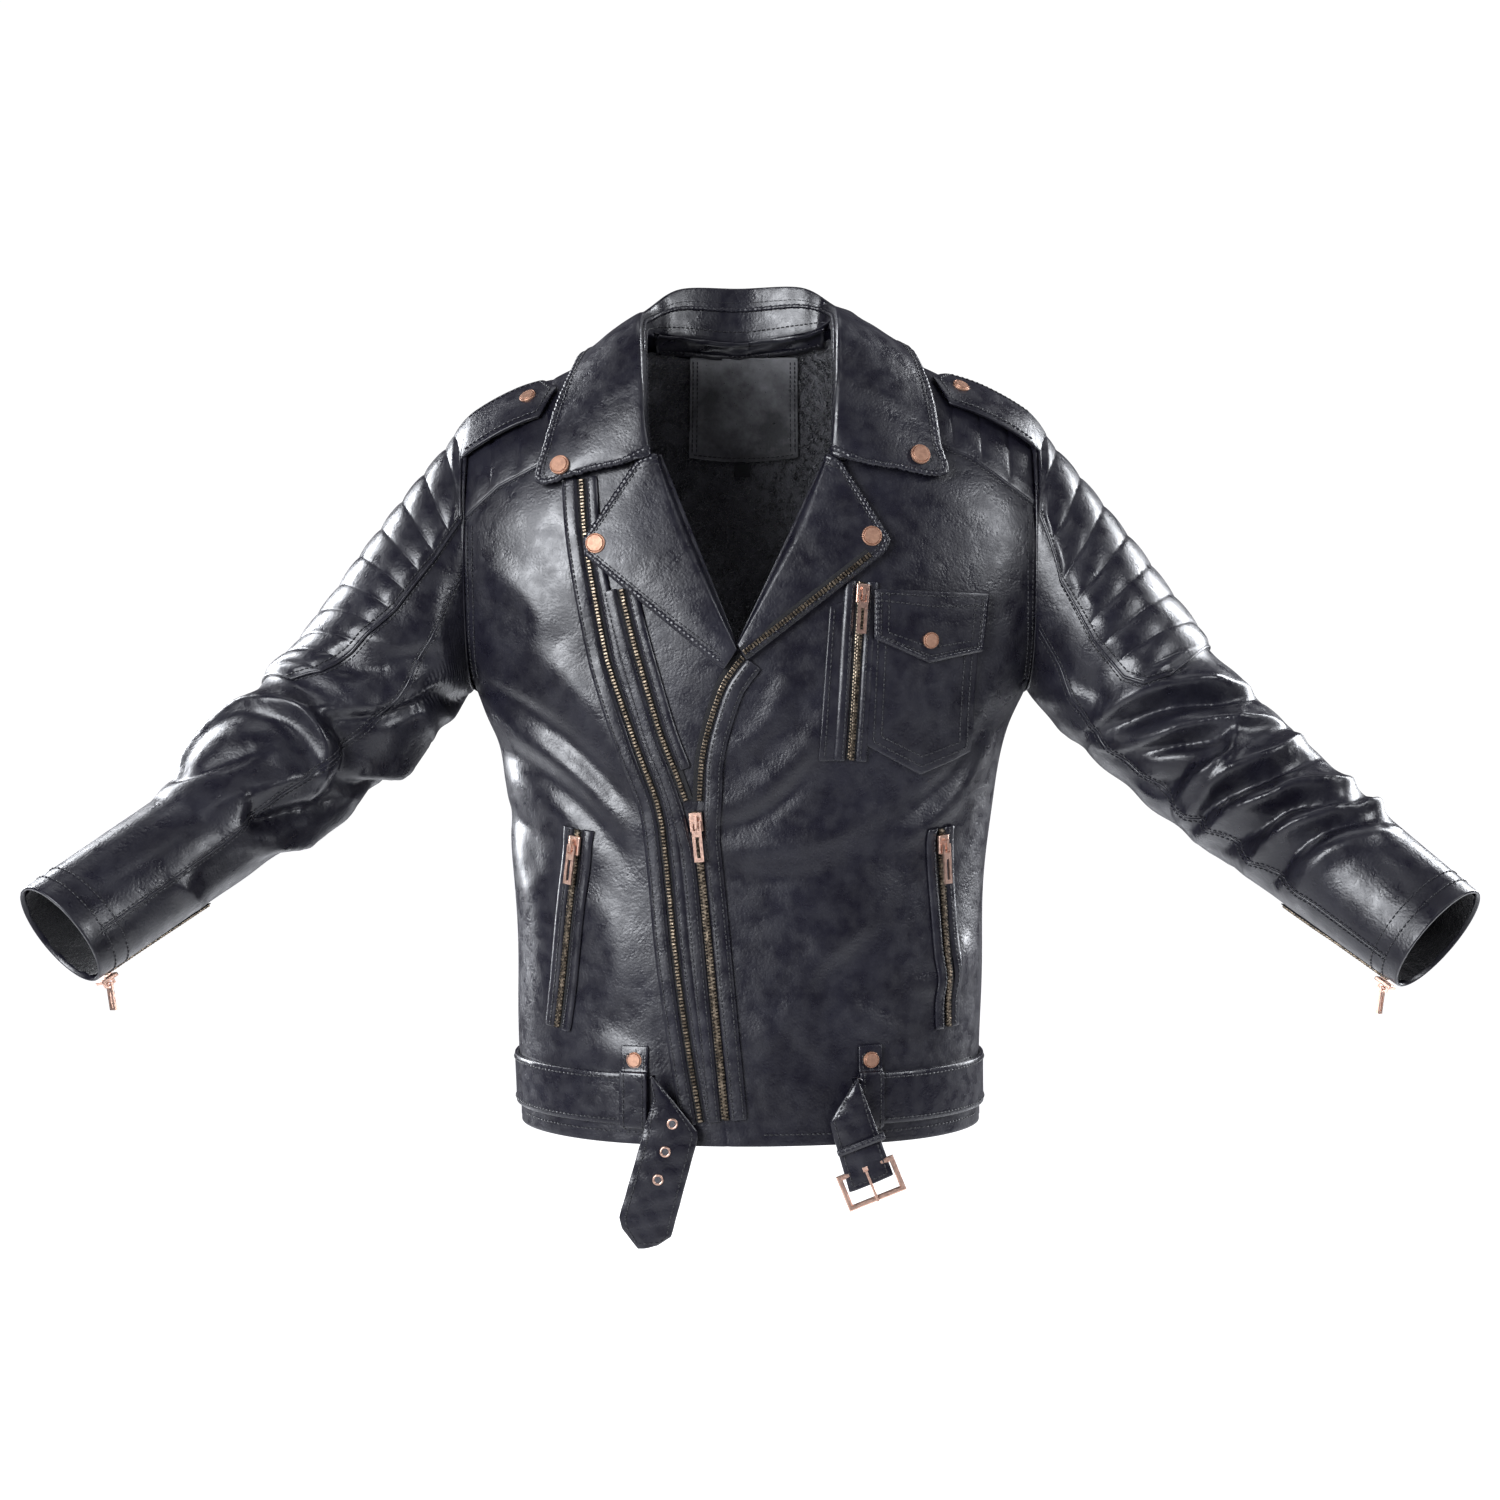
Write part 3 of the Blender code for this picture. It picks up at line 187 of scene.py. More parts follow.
def torso_normal(p, side):
    slopes = []
    for axis in range(3):
        step = np.zeros(3)
        step[axis] = 0.0002
        slopes.append(torso_level(p + step, side) - torso_level(p - step, side))
    return unit(np.stack(slopes, -1))


def folded(x, z, side):
    """How far the folds lift or sink the leather here."""
    if np.ndim(side):
        return np.where(side < 0, folded(x, z, FRONT), folded(x, z, BACK))
    total = np.zeros(np.broadcast(x, z).shape)
    for x0, z0, x1, z1, height, half in FOLDS if side < 0 else BACK_FOLDS:
        run = np.array((x1 - x0, z1 - z0))
        length = np.hypot(*run)
        t = ((x - x0) * run[0] + (z - z0) * run[1]) / length**2
        bow = 0.012 * np.sin(np.clip(t, 0, 1) * math.pi)
        away = ((x - x0) * run[1] - (z - z0) * run[0]) / length + bow
        taper = np.clip(1 - (2 * np.clip(t, -0.5, 1.5) - 1) ** 2 * 0.9, 0, 1) ** 0.8
        inside = np.clip((t + 0.15) / 0.3, 0, 1) * np.clip((1.15 - t) / 0.3, 0, 1)
        total = total + height * np.exp(-((away / half) ** 2)) * taper * inside
    soft = np.sin(x * 41 + z * 17) * np.sin(z * 29 - x * 13 + 1.0) * 0.0012
    calm = np.clip((-0.09 - z) / 0.08, 0, 1)
    return (total + soft) * calm


def spot(x, z, side=FRONT, lift=0.0):
    """(points, normals) on the torso, `lift` outside the leather."""
    x, z = np.broadcast_arrays(np.asarray(x, float), np.asarray(z, float))
    p = np.stack((x, torso_y(x, z, side), z), -1)
    n = torso_normal(p, side)
    return p + n * (np.asarray(lift) + folded(x, z, side))[..., None], n


def shoulder(x, turn, lift=0.0):
    """(points, normals) on the shoulder arch; turn is 0 on the ridge and negative to the front."""
    x, turn = np.broadcast_arrays(np.asarray(x, float), np.asarray(turn, float))
    z = read(RIDGE, np.abs(x)) - ARCH * (1 - np.cos(turn))
    return spot(x, z, np.where(turn < 0, FRONT, BACK), lift)


def pushed_out(p, clearance):
    """Points moved outwards until they stand `clearance` off the torso form."""
    for _ in range(50):
        side = np.where(p[..., 1] < 0, FRONT, BACK)
        n = torso_normal(p, side)
        slope = (torso_level(p + n * 1e-4, side) - torso_level(p, side)) / 1e-4
        near = torso_level(p, side) / np.maximum(slope, 1e-6) < clearance
        p = p + n * (near * 0.0005)[..., None]
    return p


def grid_normals(points, ring=False):
    """Normals of the surface through a grid of points."""
    if ring:
        across = np.roll(points, -1, 1) - np.roll(points, 1, 1)
    else:
        across = np.gradient(points, axis=1)
    return unit(np.cross(across, np.gradient(points, axis=0)))


def steps_of(points):
    return np.linalg.norm(np.diff(points, axis=0), axis=1)


def travelled(points):
    """The distance along a polyline at each of its points."""
    return np.concatenate(([0], np.cumsum(steps_of(points))))


def along(points, t, values=None):
    """Points, or the values that go with them, at shares t of a polyline's length."""
    points = np.asarray(points, float)
    values = points if values is None else values
    marks = travelled(points) / steps_of(points).sum()
    return np.stack([np.interp(t, marks, values[:, k]) for k in range(values.shape[1])], -1)


def catmull_rom(a, b, c, d, t):
    """The place a share t of the way from b to c on a smooth curve through all four."""
    cubed = (3 * b - a - 3 * c + d) * t**3
    return 0.5 * (2 * b + (c - a) * t + (2 * a - 5 * b + 4 * c - d) * t**2 + cubed)


def curve(points, count):
    """`count` points on a smooth curve through the given ones."""
    p = np.asarray(points, float)
    p = np.concatenate((2 * p[:1] - p[1:2], p, 2 * p[-1:] - p[-2:-1]))
    place = np.linspace(0, len(p) - 3, count)
    k = np.minimum(place.astype(int), len(p) - 4)
    return catmull_rom(p[k], p[k + 1], p[k + 2], p[k + 3], (place - k)[:, None])


def even(points, spacing):
    """The same line with points a fixed distance apart."""
    points = np.asarray(points, float)
    return along(points, np.linspace(0, 1, max(2, int(round(steps_of(points).sum() / spacing)) + 1)))


def patch(low, high, left, right, columns, rows, ease=0.0):
    """x and z arrays inside four edges: low and high run left to right, left and right run up."""
    u, v = np.linspace(0, 1, columns + 1), np.linspace(0, 1, rows + 1)
    u = mix(u, 1 - (1 - u) ** 2, ease)
    bottom, top, west, east = along(low, u), along(high, u), along(left, v), along(right, v)
    u, v = u[None, :, None], v[:, None, None]
    ruled = mix(bottom[None], top[None], v) + mix(west[:, None], east[:, None], u)
    corners = mix(mix(bottom[0], bottom[-1], u), mix(top[0], top[-1], u), v)
    flat = ruled - corners
    return flat[..., 0], flat[..., 1]


# ---------------------------------------------------------------- building meshes


def put(name, verts, faces, material, body=None, smooth=True):
    mesh = bpy.data.meshes.new(name)
    mesh.from_pydata(np.asarray(verts, float).reshape(-1, 3).tolist(), [], faces)
    mesh.update()
    if smooth:
        mesh.shade_smooth()
    obj = bpy.data.objects.new(name, mesh)
    bpy.context.scene.collection.objects.link(obj)
    mesh.materials.append(material)
    if body:
        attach(obj, body)
    return obj


def grid_faces(rows, columns, ring=False, start=0):
    wide = columns if ring else columns - 1
    j, i = np.meshgrid(np.arange(rows - 1), np.arange(wide), indexing="ij")
    a = start + j * columns + i
    b = start + j * columns + (i + 1) % columns
    return np.stack((a, b, b + columns, a + columns), -1).reshape(-1, 4)


def between(last, now):
    """Faces between two closed rows of vertices."""
    return np.stack((last, now, np.roll(now, -1), np.roll(last, -1)), -1)


def rim_of(index):
    """The entries round the edge of a grid, and the nearest ones inside it."""
    inside = np.pad(index[1:-1, 1:-1], 1, mode="edge")
    return [np.concatenate((g[0], g[1:, -1], g[-1, -2::-1], g[-2:0:-1, 0])) for g in (index, inside)]


HIDE_TURNS, SLAB_TURNS = np.radians((30, 60, 90)), np.radians((35, 90, 145))
TURNED_IN = 0.004


def hide(points, normals, thickness, rim, ring):
    """Vertices and faces of a piece of leather: its outer side with a rounded edge turned in."""
    rows, columns = points.shape[:2]
    verts = [points.reshape(-1, 3)]
    faces = grid_faces(rows, columns, ring)
    index = np.arange(rows * columns).reshape(rows, columns)
    loops = [(index[0], index[1]), (index[-1][::-1], index[-2][::-1])] if ring else [rim_of(index)]
    flat_p, flat_n = points.reshape(-1, 3), normals.reshape(-1, 3)
    count = rows * columns
    for edge, near in loops:
        p, n = flat_p[edge], flat_n[edge]
        out = p - flat_p[near]
        out = unit(out - n * (out * n).sum(-1, keepdims=True))
        rings = [p + out * rim * np.sin(t) - n * rim * (1 - np.cos(t)) for t in HIDE_TURNS]
        rings.append(p + out * rim - n * thickness)
        rings.append(p - out * TURNED_IN - n * thickness)
        last = edge
        for row in rings:
            now = count + np.arange(len(edge))
            count += len(edge)
            verts.append(row)
            faces = np.concatenate((faces, between(last, now)))
            last = now
    return np.concatenate(verts), faces


def slab(points, normals, thickness, rim):
    """Vertices and faces of a strap with two faces and rounded edges."""
    rows, columns = points.shape[:2]
    count = rows * columns
    edge, near = rim_of(np.arange(count).reshape(rows, columns))
    p, n = points.reshape(-1, 3), normals.reshape(-1, 3)
    out = p[edge] - p[near]
    out = unit(out - n[edge] * (out * n[edge]).sum(-1, keepdims=True))
    verts = [p, p - n * thickness]
    faces = [grid_faces(rows, columns), grid_faces(rows, columns, start=count)[:, ::-1]]
    total, last = 2 * count, edge
    for turn in SLAB_TURNS:
        drop = thickness / 2 * (1 - np.cos(turn))
        verts.append(p[edge] + out * rim * np.sin(turn) - n[edge] * drop)
        now = total + np.arange(len(edge))
        total += len(edge)
        faces.append(between(last, now))
        last = now
    faces.append(between(last, edge + count))
    return np.concatenate(verts), np.concatenate(faces)


def upright(verts, faces, normal):
    """Turns the faces round where the first one looks against the normal."""
    a, b, c = (verts[faces[0][k]] for k in (0, 1, 2))
    return faces[:, ::-1] if np.dot(np.cross(b - a, c - a), normal) < 0 else faces


def leather(name, points, normals, thickness, body, material, rim=0.0009, ring=False):
    verts, faces = hide(points, normals, thickness, rim, ring)
    return put(name, verts, upright(verts, faces, normals[0, 0]).tolist(), material, body)


def strap(name, points, normals, thickness, rim, body):
    verts, faces = slab(points, normals, thickness, rim)
    return put(name, verts, upright(verts, faces, normals[0, 0]).tolist(), SMOOTH_LEATHER, body)


def facing(normals, row, column, way):
    """The normals, turned round if the one at (row, column) looks away from `way`."""
    return -normals if np.dot(normals[row, column], way) < 0 else normals


def path_frame(points, normals):
    """Directions along and across a path that lies on a surface."""
    ahead = unit(np.gradient(points, axis=0))
    normals = unit(normals - ahead * (normals * ahead).sum(-1, keepdims=True))
    return ahead, unit(np.cross(normals, ahead)), normals


def strip(points, normals, width, thickness, crown=0.0, columns=9):
    """A strip along a path: (points, normals) arrays for leather()."""
    _, across, normal = path_frame(points, normals)
    u = np.linspace(-0.5, 0.5, columns)[None, :, None]
    raised = thickness + crown * (1 - (2 * u) ** 2)
    grid = points[:, None] + across[:, None] * u * width + normal[:, None] * raised
    return grid, np.broadcast_to(normal[:, None], grid.shape)


def merged(name, parts, material, body=None):
    """One piece from several (vertices, faces) pairs."""
    verts, faces, count = [], [], 0
    for v, f in parts:
        verts.append(v)
        faces += [tuple(int(k) + count for k in face) for face in f]
        count += len(v)
    return put(name, np.concatenate(verts), faces, material, body)


def repeated(faces, count, step):
    """The faces of `count` copies of a mesh of `step` vertices."""
    return (faces[None] + (np.arange(count) * step)[:, None, None]).reshape(-1, 4)


def circle_turns(count):
    return np.arange(count) * 2 * math.pi / count


def circles(across, normal, count, wide=1.0):
    """Rings of `count` points across a path, `wide` times as wide as they are high."""
    turns = circle_turns(count)[None, :, None]
    return across[:, None] * np.cos(turns) * wide + normal[:, None] * np.sin(turns)


STITCH_PITCH = 0.0040
STITCH_RADIUS = 0.00056
STITCH_SINK = 0.0001
STITCH_SIDES = 6
# How far the stitches' paths stand off the leather.
STITCH_LIFT = 0.0001
# The rings of a stitch: place along it in pitches, girth in radii, rise.
STITCH_RINGS = (
    (-0.42, 0.15, -0.0004), (-0.30, 0.85, 0.0), (0.0, 1.0, 0.0002), (0.30, 0.85, 0.0), (0.42, 0.15, -0.0004)
)


def stitch_run(points, normals):
    """A row of thread stitches along a path: small spindles, dipping into the leather at each end."""
    count = max(1, int(steps_of(points).sum() / STITCH_PITCH))
    marks = (np.arange(count) + 0.5) / count
    middle = along(points, marks)
    normal = unit(along(points, marks, normals))
    step = 0.2 / count
    ahead = unit(along(points, np.minimum(marks + step, 1)) - along(points, np.maximum(marks - step, 0)))
    across = unit(np.cross(normal, ahead))
    circle = circles(across, normal, STITCH_SIDES)
    rings = []
    for share, girth, rise in STITCH_RINGS:
        centre = middle + ahead * share * STITCH_PITCH + normal * (rise + STITCH_RADIUS * 0.5 - STITCH_SINK)
        rings.append(centre[:, None] + circle * STITCH_RADIUS * girth)
    one = grid_faces(len(rings), STITCH_SIDES, ring=True)
    return np.stack(rings, 1).reshape(-1, 3), repeated(one, count, len(rings) * STITCH_SIDES)


def stitches(name, runs, body=None):
    return merged(name, [stitch_run(p, n) for p, n in runs], THREAD, body)


LINE_SPACING = 0.003


def front_line(points, lift, bend=True):
    """A path on the torso's front through (x, z) points, as points and normals."""
    flat = even(curve(points, 60) if bend else points, LINE_SPACING)
    return spot(flat[:, 0], flat[:, 1], FRONT, lift)


def tube(points, normals, radius):
    """A round cord along a path."""
    sides = 10
    _, across, normal = path_frame(points, normals)
    circle = circles(across, normal, sides)
    return (points[:, None] + circle * radius).reshape(-1, 3), grid_faces(len(points), sides, ring=True)


def edge_path(points, normals, inset, start=0.0, finish=1.0):
    """A path a fixed distance inside the last column of a grid, between two shares of its rows."""
    path, normal = [], []
    for line, normal_line in zip(points, normals):
        marks = travelled(line)
        place = max(marks[-1] - inset, 0)
        path.append([np.interp(place, marks, line[:, k]) for k in range(3)])
        normal.append([np.interp(place, marks, normal_line[:, k]) for k in range(3)])
    last = len(points) - 1
    kept = slice(int(start * last), int(finish * last) + 1)
    return np.array(path)[kept], unit(np.array(normal)[kept])


def rim_line(points, normals, inset, first=True, last=True):
    """A line a fixed distance inside the edge of a grid: its first row, last column and last row."""
    parts = []
    if first:
        parts.append(edge_path(points[::-1].transpose(1, 0, 2), normals[::-1].transpose(1, 0, 2), inset))
    parts.append(edge_path(points, normals, inset))
    if last:
        line, normal = edge_path(points.transpose(1, 0, 2), normals.transpose(1, 0, 2), inset)
        parts.append((line[::-1], normal[::-1]))
    kept = []
    corner = 1.7 * inset
    for k, (line, normal) in enumerate(parts):
        marks = travelled(line)
        inside = np.ones(len(line), bool)
        if k > 0:
            inside &= marks > corner
        if k < len(parts) - 1:
            inside &= marks < marks[-1] - corner
        kept.append((line[inside], normal[inside]))
    line, normal = (np.concatenate(pieces) for pieces in zip(*kept))
    shares = np.linspace(0, 1, max(2, int(steps_of(line).sum() / 0.0009)))
    return along(line, shares), unit(along(line, shares, normal))


def rolled_edge(name, line, normals, body, radius):
    """The turned edge of a leather piece: a soft roll, uneven and pinched between the stitches."""
    sides, sink = 12, 0.0005
    _, across, normal = path_frame(line, normals)
    marks = travelled(line)
    uneven = np.sin(marks * 610 + 1.1 * np.sin(marks * 170)) * 0.10
    pinch = np.sin(marks / STITCH_PITCH * 2 * math.pi) * 0.16 + uneven
    ends = np.clip(np.minimum(marks, marks[-1] - marks) / 0.004, 0.05, 1) ** 0.5
    size = (radius * (1 + pinch) * ends)[:, None, None]
    verts = (line - normal * sink)[:, None] + circles(across, normal, sides, 1.5) * size
    put(name, verts, grid_faces(len(line), sides, ring=True).tolist(), LEATHER, body)


# ---------------------------------------------------------------- materials


def material(name, slot, metallic=0.0, roughness=0.5, colour=(0.02, 0.02, 0.02)):
    made = bpy.data.materials.new(name)
    made.use_nodes = True
    made["slot"] = slot
    shader = made.node_tree.nodes["Principled BSDF"]
    shader.inputs["Metallic"].default_value = metallic
    shader.inputs["Roughness"].default_value = roughness
    shader.inputs["Base Color"].default_value = (*colour, 1)
    return made, made.node_tree, shader


def node(tree, kind, **values):
    made = tree.nodes.new(kind)
    for key, value in values.items():
        if key in made.inputs:
            made.inputs[key].default_value = value
        else:
            setattr(made, key, value)
    return made


def coords(tree, scale=(1, 1, 1)):
    where = tree.nodes.new("ShaderNodeTexCoord")
    sized = node(tree, "ShaderNodeMapping", Scale=scale)
    tree.links.new(where.outputs["Object"], sized.inputs["Vector"])
    return sized.outputs["Vector"]


def noise(tree, vector, scale, detail=4.0, rough=0.55):
    made = node(tree, "ShaderNodeTexNoise", Scale=scale, Detail=detail, Roughness=rough)
    tree.links.new(vector, made.inputs["Vector"])
    return made.outputs["Fac"]


def ramp(tree, value, low, high, first, last):
    made = tree.nodes.new("ShaderNodeMapRange")
    for key, number in (("From Min", low), ("From Max", high), ("To Min", first), ("To Max", last)):
        made.inputs[key].default_value = number
    tree.links.new(value, made.inputs["Value"])
    return made.outputs["Result"]


def blend_colour(tree, factor, first, last):
    made = tree.nodes.new("ShaderNodeMix")
    made.data_type = "RGBA"
    tree.links.new(factor, made.inputs["Factor"])
    made.inputs["A"].default_value = (*first, 1)
    made.inputs["B"].default_value = (*last, 1)
    return made.outputs["Result"]


def tint(tree, shader, factor, first, last):
    """Mixes two colours into the shader's base colour."""
    tree.links.new(blend_colour(tree, factor, first, last), shader.inputs["Base Color"])


def bump(tree, shader, layers):
    """Stacks bumps: (height, strength, distance)."""
    last = None
    for height, strength, distance in layers:
        made = node(tree, "ShaderNodeBump", Strength=strength, Distance=distance)
        tree.links.new(height, made.inputs["Height"])
        if last:
            tree.links.new(last, made.inputs["Normal"])
        last = made.outputs["Normal"]
    tree.links.new(last, shader.inputs["Normal"])


def leather_material(name, base=(0.0048, 0.0043, 0.0090), worn_and_painted_sheen=(0.0120, 0.0118, 0.0190), rough=(0.26, 0.46)):
    """Black leather: fine grain, shallow dents, uneven gloss and slightly paler spots of wear. On the neck
    patch both colours are far paler than elsewhere as painted light, and its paler spots are a painted sheen.
    """
    made, tree, shader = material(name, "leather")
    vector = coords(tree)
    pebbles = node(tree, "ShaderNodeTexVoronoi", Scale=560.0, Randomness=1.0)
    pebbles.feature = "SMOOTH_F1"
    tree.links.new(vector, pebbles.inputs["Vector"])
    dents = noise(tree, vector, 22.0, 2.0, 0.50)
    mottle = noise(tree, vector, 80.0, 2.0, 0.55)
    speckle = noise(tree, vector, 520.0, 1.0, 0.5)
    patches = noise(tree, vector, 17.0, 5.0, 0.68)
    tint(tree, shader, ramp(tree, patches, 0.38, 0.66, 0, 1), base, worn_and_painted_sheen)
    tree.links.new(ramp(tree, mottle, 0.34, 0.66, *rough), shader.inputs["Roughness"])
    shader.inputs["Specular IOR Level"].default_value = 0.55
    shader.inputs["Coat Weight"].default_value = 0.15
    shader.inputs["Coat Roughness"].default_value = 0.20
    grain = (pebbles.outputs["Distance"], 0.30, 0.0003)
    bump(tree, shader, ((dents, 0.36, 0.0034), (mottle, 0.45, 0.0010), grain, (speckle, 0.45, 0.0004)))
    return made


def thread_material():
    made, tree, shader = material("thread", "leather", roughness=0.40, colour=(0.014, 0.014, 0.018))
    shader.inputs["Sheen Weight"].default_value = 0.1
    vector = coords(tree)
    bump(tree, shader, ((noise(tree, vector, 2500.0, 2.0), 0.4, 0.0002),))
    tint(tree, shader, noise(tree, vector, 300.0), (0.006, 0.006, 0.008), (0.020, 0.020, 0.026))
    return made


def pile_material(name, low, high):
    """Black curly pile, or the flatter cloth inside the sleeves, which is coloured near-black there as painted
    shade.
    """
    made, tree, shader = material(name, "lining", roughness=0.95)
    shader.inputs["Sheen Weight"].default_value = 0.35
    shader.inputs["Sheen Roughness"].default_value = 0.5
    shader.inputs["Specular IOR Level"].default_value = 0.2
    vector = coords(tree)
    curls = noise(tree, vector, 420.0, 6.0, 0.75)
    clumps = noise(tree, vector, 90.0, 4.0, 0.7)
    tint(tree, shader, clumps, low, high)
    bump(tree, shader, ((clumps, 0.8, 0.0040), (curls, 0.9, 0.0020)))
    return made


def tape_material():
    """Woven zip tape."""
    made, tree, shader = material("tape", "tape", roughness=0.8)
    vector = coords(tree)
    threads = []
    for direction in "ZX":
        waves = node(tree, "ShaderNodeTexWave", Scale=520.0, Distortion=0.6)
        waves.bands_direction = direction
        tree.links.new(vector, waves.inputs["Vector"])
        threads.append((waves.outputs["Fac"], 0.5, 0.0003))
    tint(tree, shader, noise(tree, vector, 60.0), (0.006, 0.006, 0.007), (0.016, 0.016, 0.018))
    bump(tree, shader, threads)
    return made


def metal_material(name, bright, dark, rough, wear, grain=0.15):
    """Plated metal with tarnish in patches and fine scratches."""
    made, tree, shader = material(name, name, metallic=1.0)
    vector = coords(tree)
    patches = noise(tree, vector, 320.0, 5.0, 0.65)
    tint(tree, shader, ramp(tree, patches, *wear, 0, 1), dark, bright)
    tree.links.new(ramp(tree, noise(tree, vector, 700.0, 3.0), 0.3, 0.7, *rough), shader.inputs["Roughness"])
    scratches = noise(tree, coords(tree, (1, 1, 0.12)), 3000.0, 2.0)
    bump(tree, shader, ((scratches, grain, 0.0001),))
    return made


LEATHER = leather_material("leather")
SMOOTH_LEATHER = leather_material("strap_leather", rough=(0.20, 0.40))
# The neck patch: the jacket's black leather painted far paler as light inside the shaded neck, with a mottled
# painted sheen.
PATCH_LEATHER_PAINTED_LIGHT = leather_material("patch_leather_painted_light", (0.040, 0.040, 0.044), (0.210, 0.210, 0.220), (0.32, 0.52))
THREAD = thread_material()
PILE = pile_material("pile", (0.026, 0.026, 0.029), (0.150, 0.150, 0.165))
# The cloth inside the cuffs: a real lining, coloured near-black as painted shade inside the sleeves' openings.
SLEEVE_CLOTH_PAINTED_SHADE = pile_material("sleeve_cloth_painted_shade", (0.003, 0.003, 0.004), (0.010, 0.010, 0.012))
TAPE = tape_material()
BRASS = metal_material("brass", (0.42, 0.34, 0.25), (0.080, 0.064, 0.048), (0.28, 0.48), (0.42, 0.66))
COPPER = metal_material("copper", (0.56, 0.34, 0.24), (0.36, 0.20, 0.14), (0.50, 0.64), (0.3, 0.7), 0.4)
ROSE = metal_material("rose_gold", (0.86, 0.57, 0.45), (0.52, 0.32, 0.25), (0.28, 0.44), (0.20, 0.60))


# ---------------------------------------------------------------- body panels


PANEL_THICKNESS, PANEL_RIM = 0.0025, 0.0006


def side_x(z):
    seam = read(TORSO, z, 1) - 4e-7
    return np.where(z < ARM_LOW, np.minimum(seam, ARM_X), ARM_X)


# Lines on the fronts in x and z: the zip's ends, the break of the lapels, their roll lines' tops.
ZIP_LOW, ZIP_MEET, BREAK = (-0.0170, HEM), (-0.0410, -0.3450), (-0.0098, -0.2148)
ROLL_TOP = {"right": (-0.0671, -0.0719), "left": (0.0565, -0.0742)}
YOKE_SEAM = {
    "right": [(-0.0830, -0.0755), (-0.1563, -0.0760), (-0.1931, -0.0943), (-0.2220, -0.1198)],
    "left": [(0.0680, -0.0755), (0.1381, -0.0600), (0.1699, -0.0730), (0.2220, -0.1090)],
}
NECK = {"right": 0.0850, "left": 0.0680}


def front_edge(side):
    return [ZIP_LOW, ZIP_MEET, (-0.0270, -0.2700), BREAK, ROLL_TOP[side]]


def front_panel(side):
    hand = HANDS[side]
    seam = YOKE_SEAM[side]
    top = [ROLL_TOP[side]] + seam
    inner = front_edge(side)
    heights = np.linspace(HEM, seam[-1][1], 60)
    outer = np.stack((hand * side_x(heights), heights), -1)
    x, z = patch([inner[0], outer[0]], top, inner, outer, 90, 190, ease=0.6)
    points, normals = spot(x, z)
    piece = leather(f"{side}_front", points, normals, PANEL_THICKNESS, "root", LEATHER, rim=PANEL_RIM)
    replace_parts(piece, f"{side}_front_panel")


def quilted(across, pitch, height):
    """Height of stitched channels: rounded ribs with narrow valleys."""
    phase = across / pitch * math.pi
    return height * (np.abs(np.sin(phase)) ** 0.38 - 0.45)


CHANNEL_START, CHANNEL_PITCH = 0.0885, 0.0222


def yoke(side):
    """Quilted shoulder piece with near-vertical channels."""
    hand = HANDS[side]
    lower = [(x, z + 0.0014) for x, z in YOKE_SEAM[side]]
    xs = np.linspace(NECK[side], 0.2215, 40)
    upper = np.stack((hand * xs, read(RIDGE, xs) - 2e-5), -1)
    inner = [lower[0], (hand * NECK[side], -0.030), tuple(upper[0])]
    outer = [lower[-1], tuple(upper[-1])]
    x, z = patch(lower, upper, inner, outer, 130, 70)
    v = np.linspace(0, 1, 71)[:, None]
    z = mix(z[0][None], z[-1][None], 1 - (1 - v) ** 1.8)
    edge = np.minimum(np.minimum(v, 1 - v) * 14, 1) * np.ones_like(x)
    ends = np.abs(x[:, :1] - x), np.abs(x[:, -1:] - x)
    edge = edge * np.clip(np.minimum(*ends) / 0.006, 0, 1)
    rib = quilted(np.abs(x) - CHANNEL_START, CHANNEL_PITCH, 0.0019)
    points, normals = spot(x, z, FRONT, 0.0012 + rib * edge)
    piece = leather(f"{side}_quilted_yoke", points, normals, 0.0040, "root", LEATHER, rim=0.0010)
    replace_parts(piece, f"{side}_yoke")
    lines = []
    for k in range(8):
        at = CHANNEL_START + k * CHANNEL_PITCH
        if at > 0.218 or at < NECK[side] + 0.004:
            continue
        low = np.interp(at, [abs(p[0]) for p in lower], [p[1] for p in lower]) + 0.004
        high = float(read(RIDGE, np.array(at))) - 0.004
        z_line = mix(low, high, 1 - (1 - np.linspace(0, 1, 30)) ** 1.8)
        lines.append(spot(np.full(30, hand * at), z_line, FRONT, -0.0002))
    stitches(f"{side}_yoke_channel_stitches", lines, "root")


def back_top(x):
    left, right = -0.0830, 0.0660
    middle, half = (left + right) / 2, (right - left) / 2
    corner = np.where(x > middle, read(RIDGE, np.array(right)), read(RIDGE, np.array(-left)))
    neck = mix(0.0280, corner, ((x - middle) / half) ** 2)
    return np.where(np.abs(x - middle) < half, neck, read(RIDGE, np.abs(x))) - 2e-5


def back_grid(columns, rows, low, lift, inset=0.0, drop=0.0):
    turn = np.linspace(-1, 1, columns + 1)[None]
    share = np.sin(turn * math.pi / 2) * 0.55 + turn * 0.45
    v = np.linspace(0, 1, rows + 1)[:, None]
    v = mix(v, 1 - (1 - v) ** 2, 0.8)
    z = mix(low, back_top(share * (ARM_X - inset)) - drop, v)
    x = share * (side_x(z) - inset)
    z = mix(low, back_top(x) - drop, v)
    return spot(x, z, BACK, lift)


def back():
    points, normals = back_grid(170, 190, HEM, 0.0)
    piece = leather("back", points, normals, PANEL_THICKNESS, "root", LEATHER, rim=PANEL_RIM)
    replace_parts(piece, "back_panel")


# ---------------------------------------------------------------- lining, neck patch, label


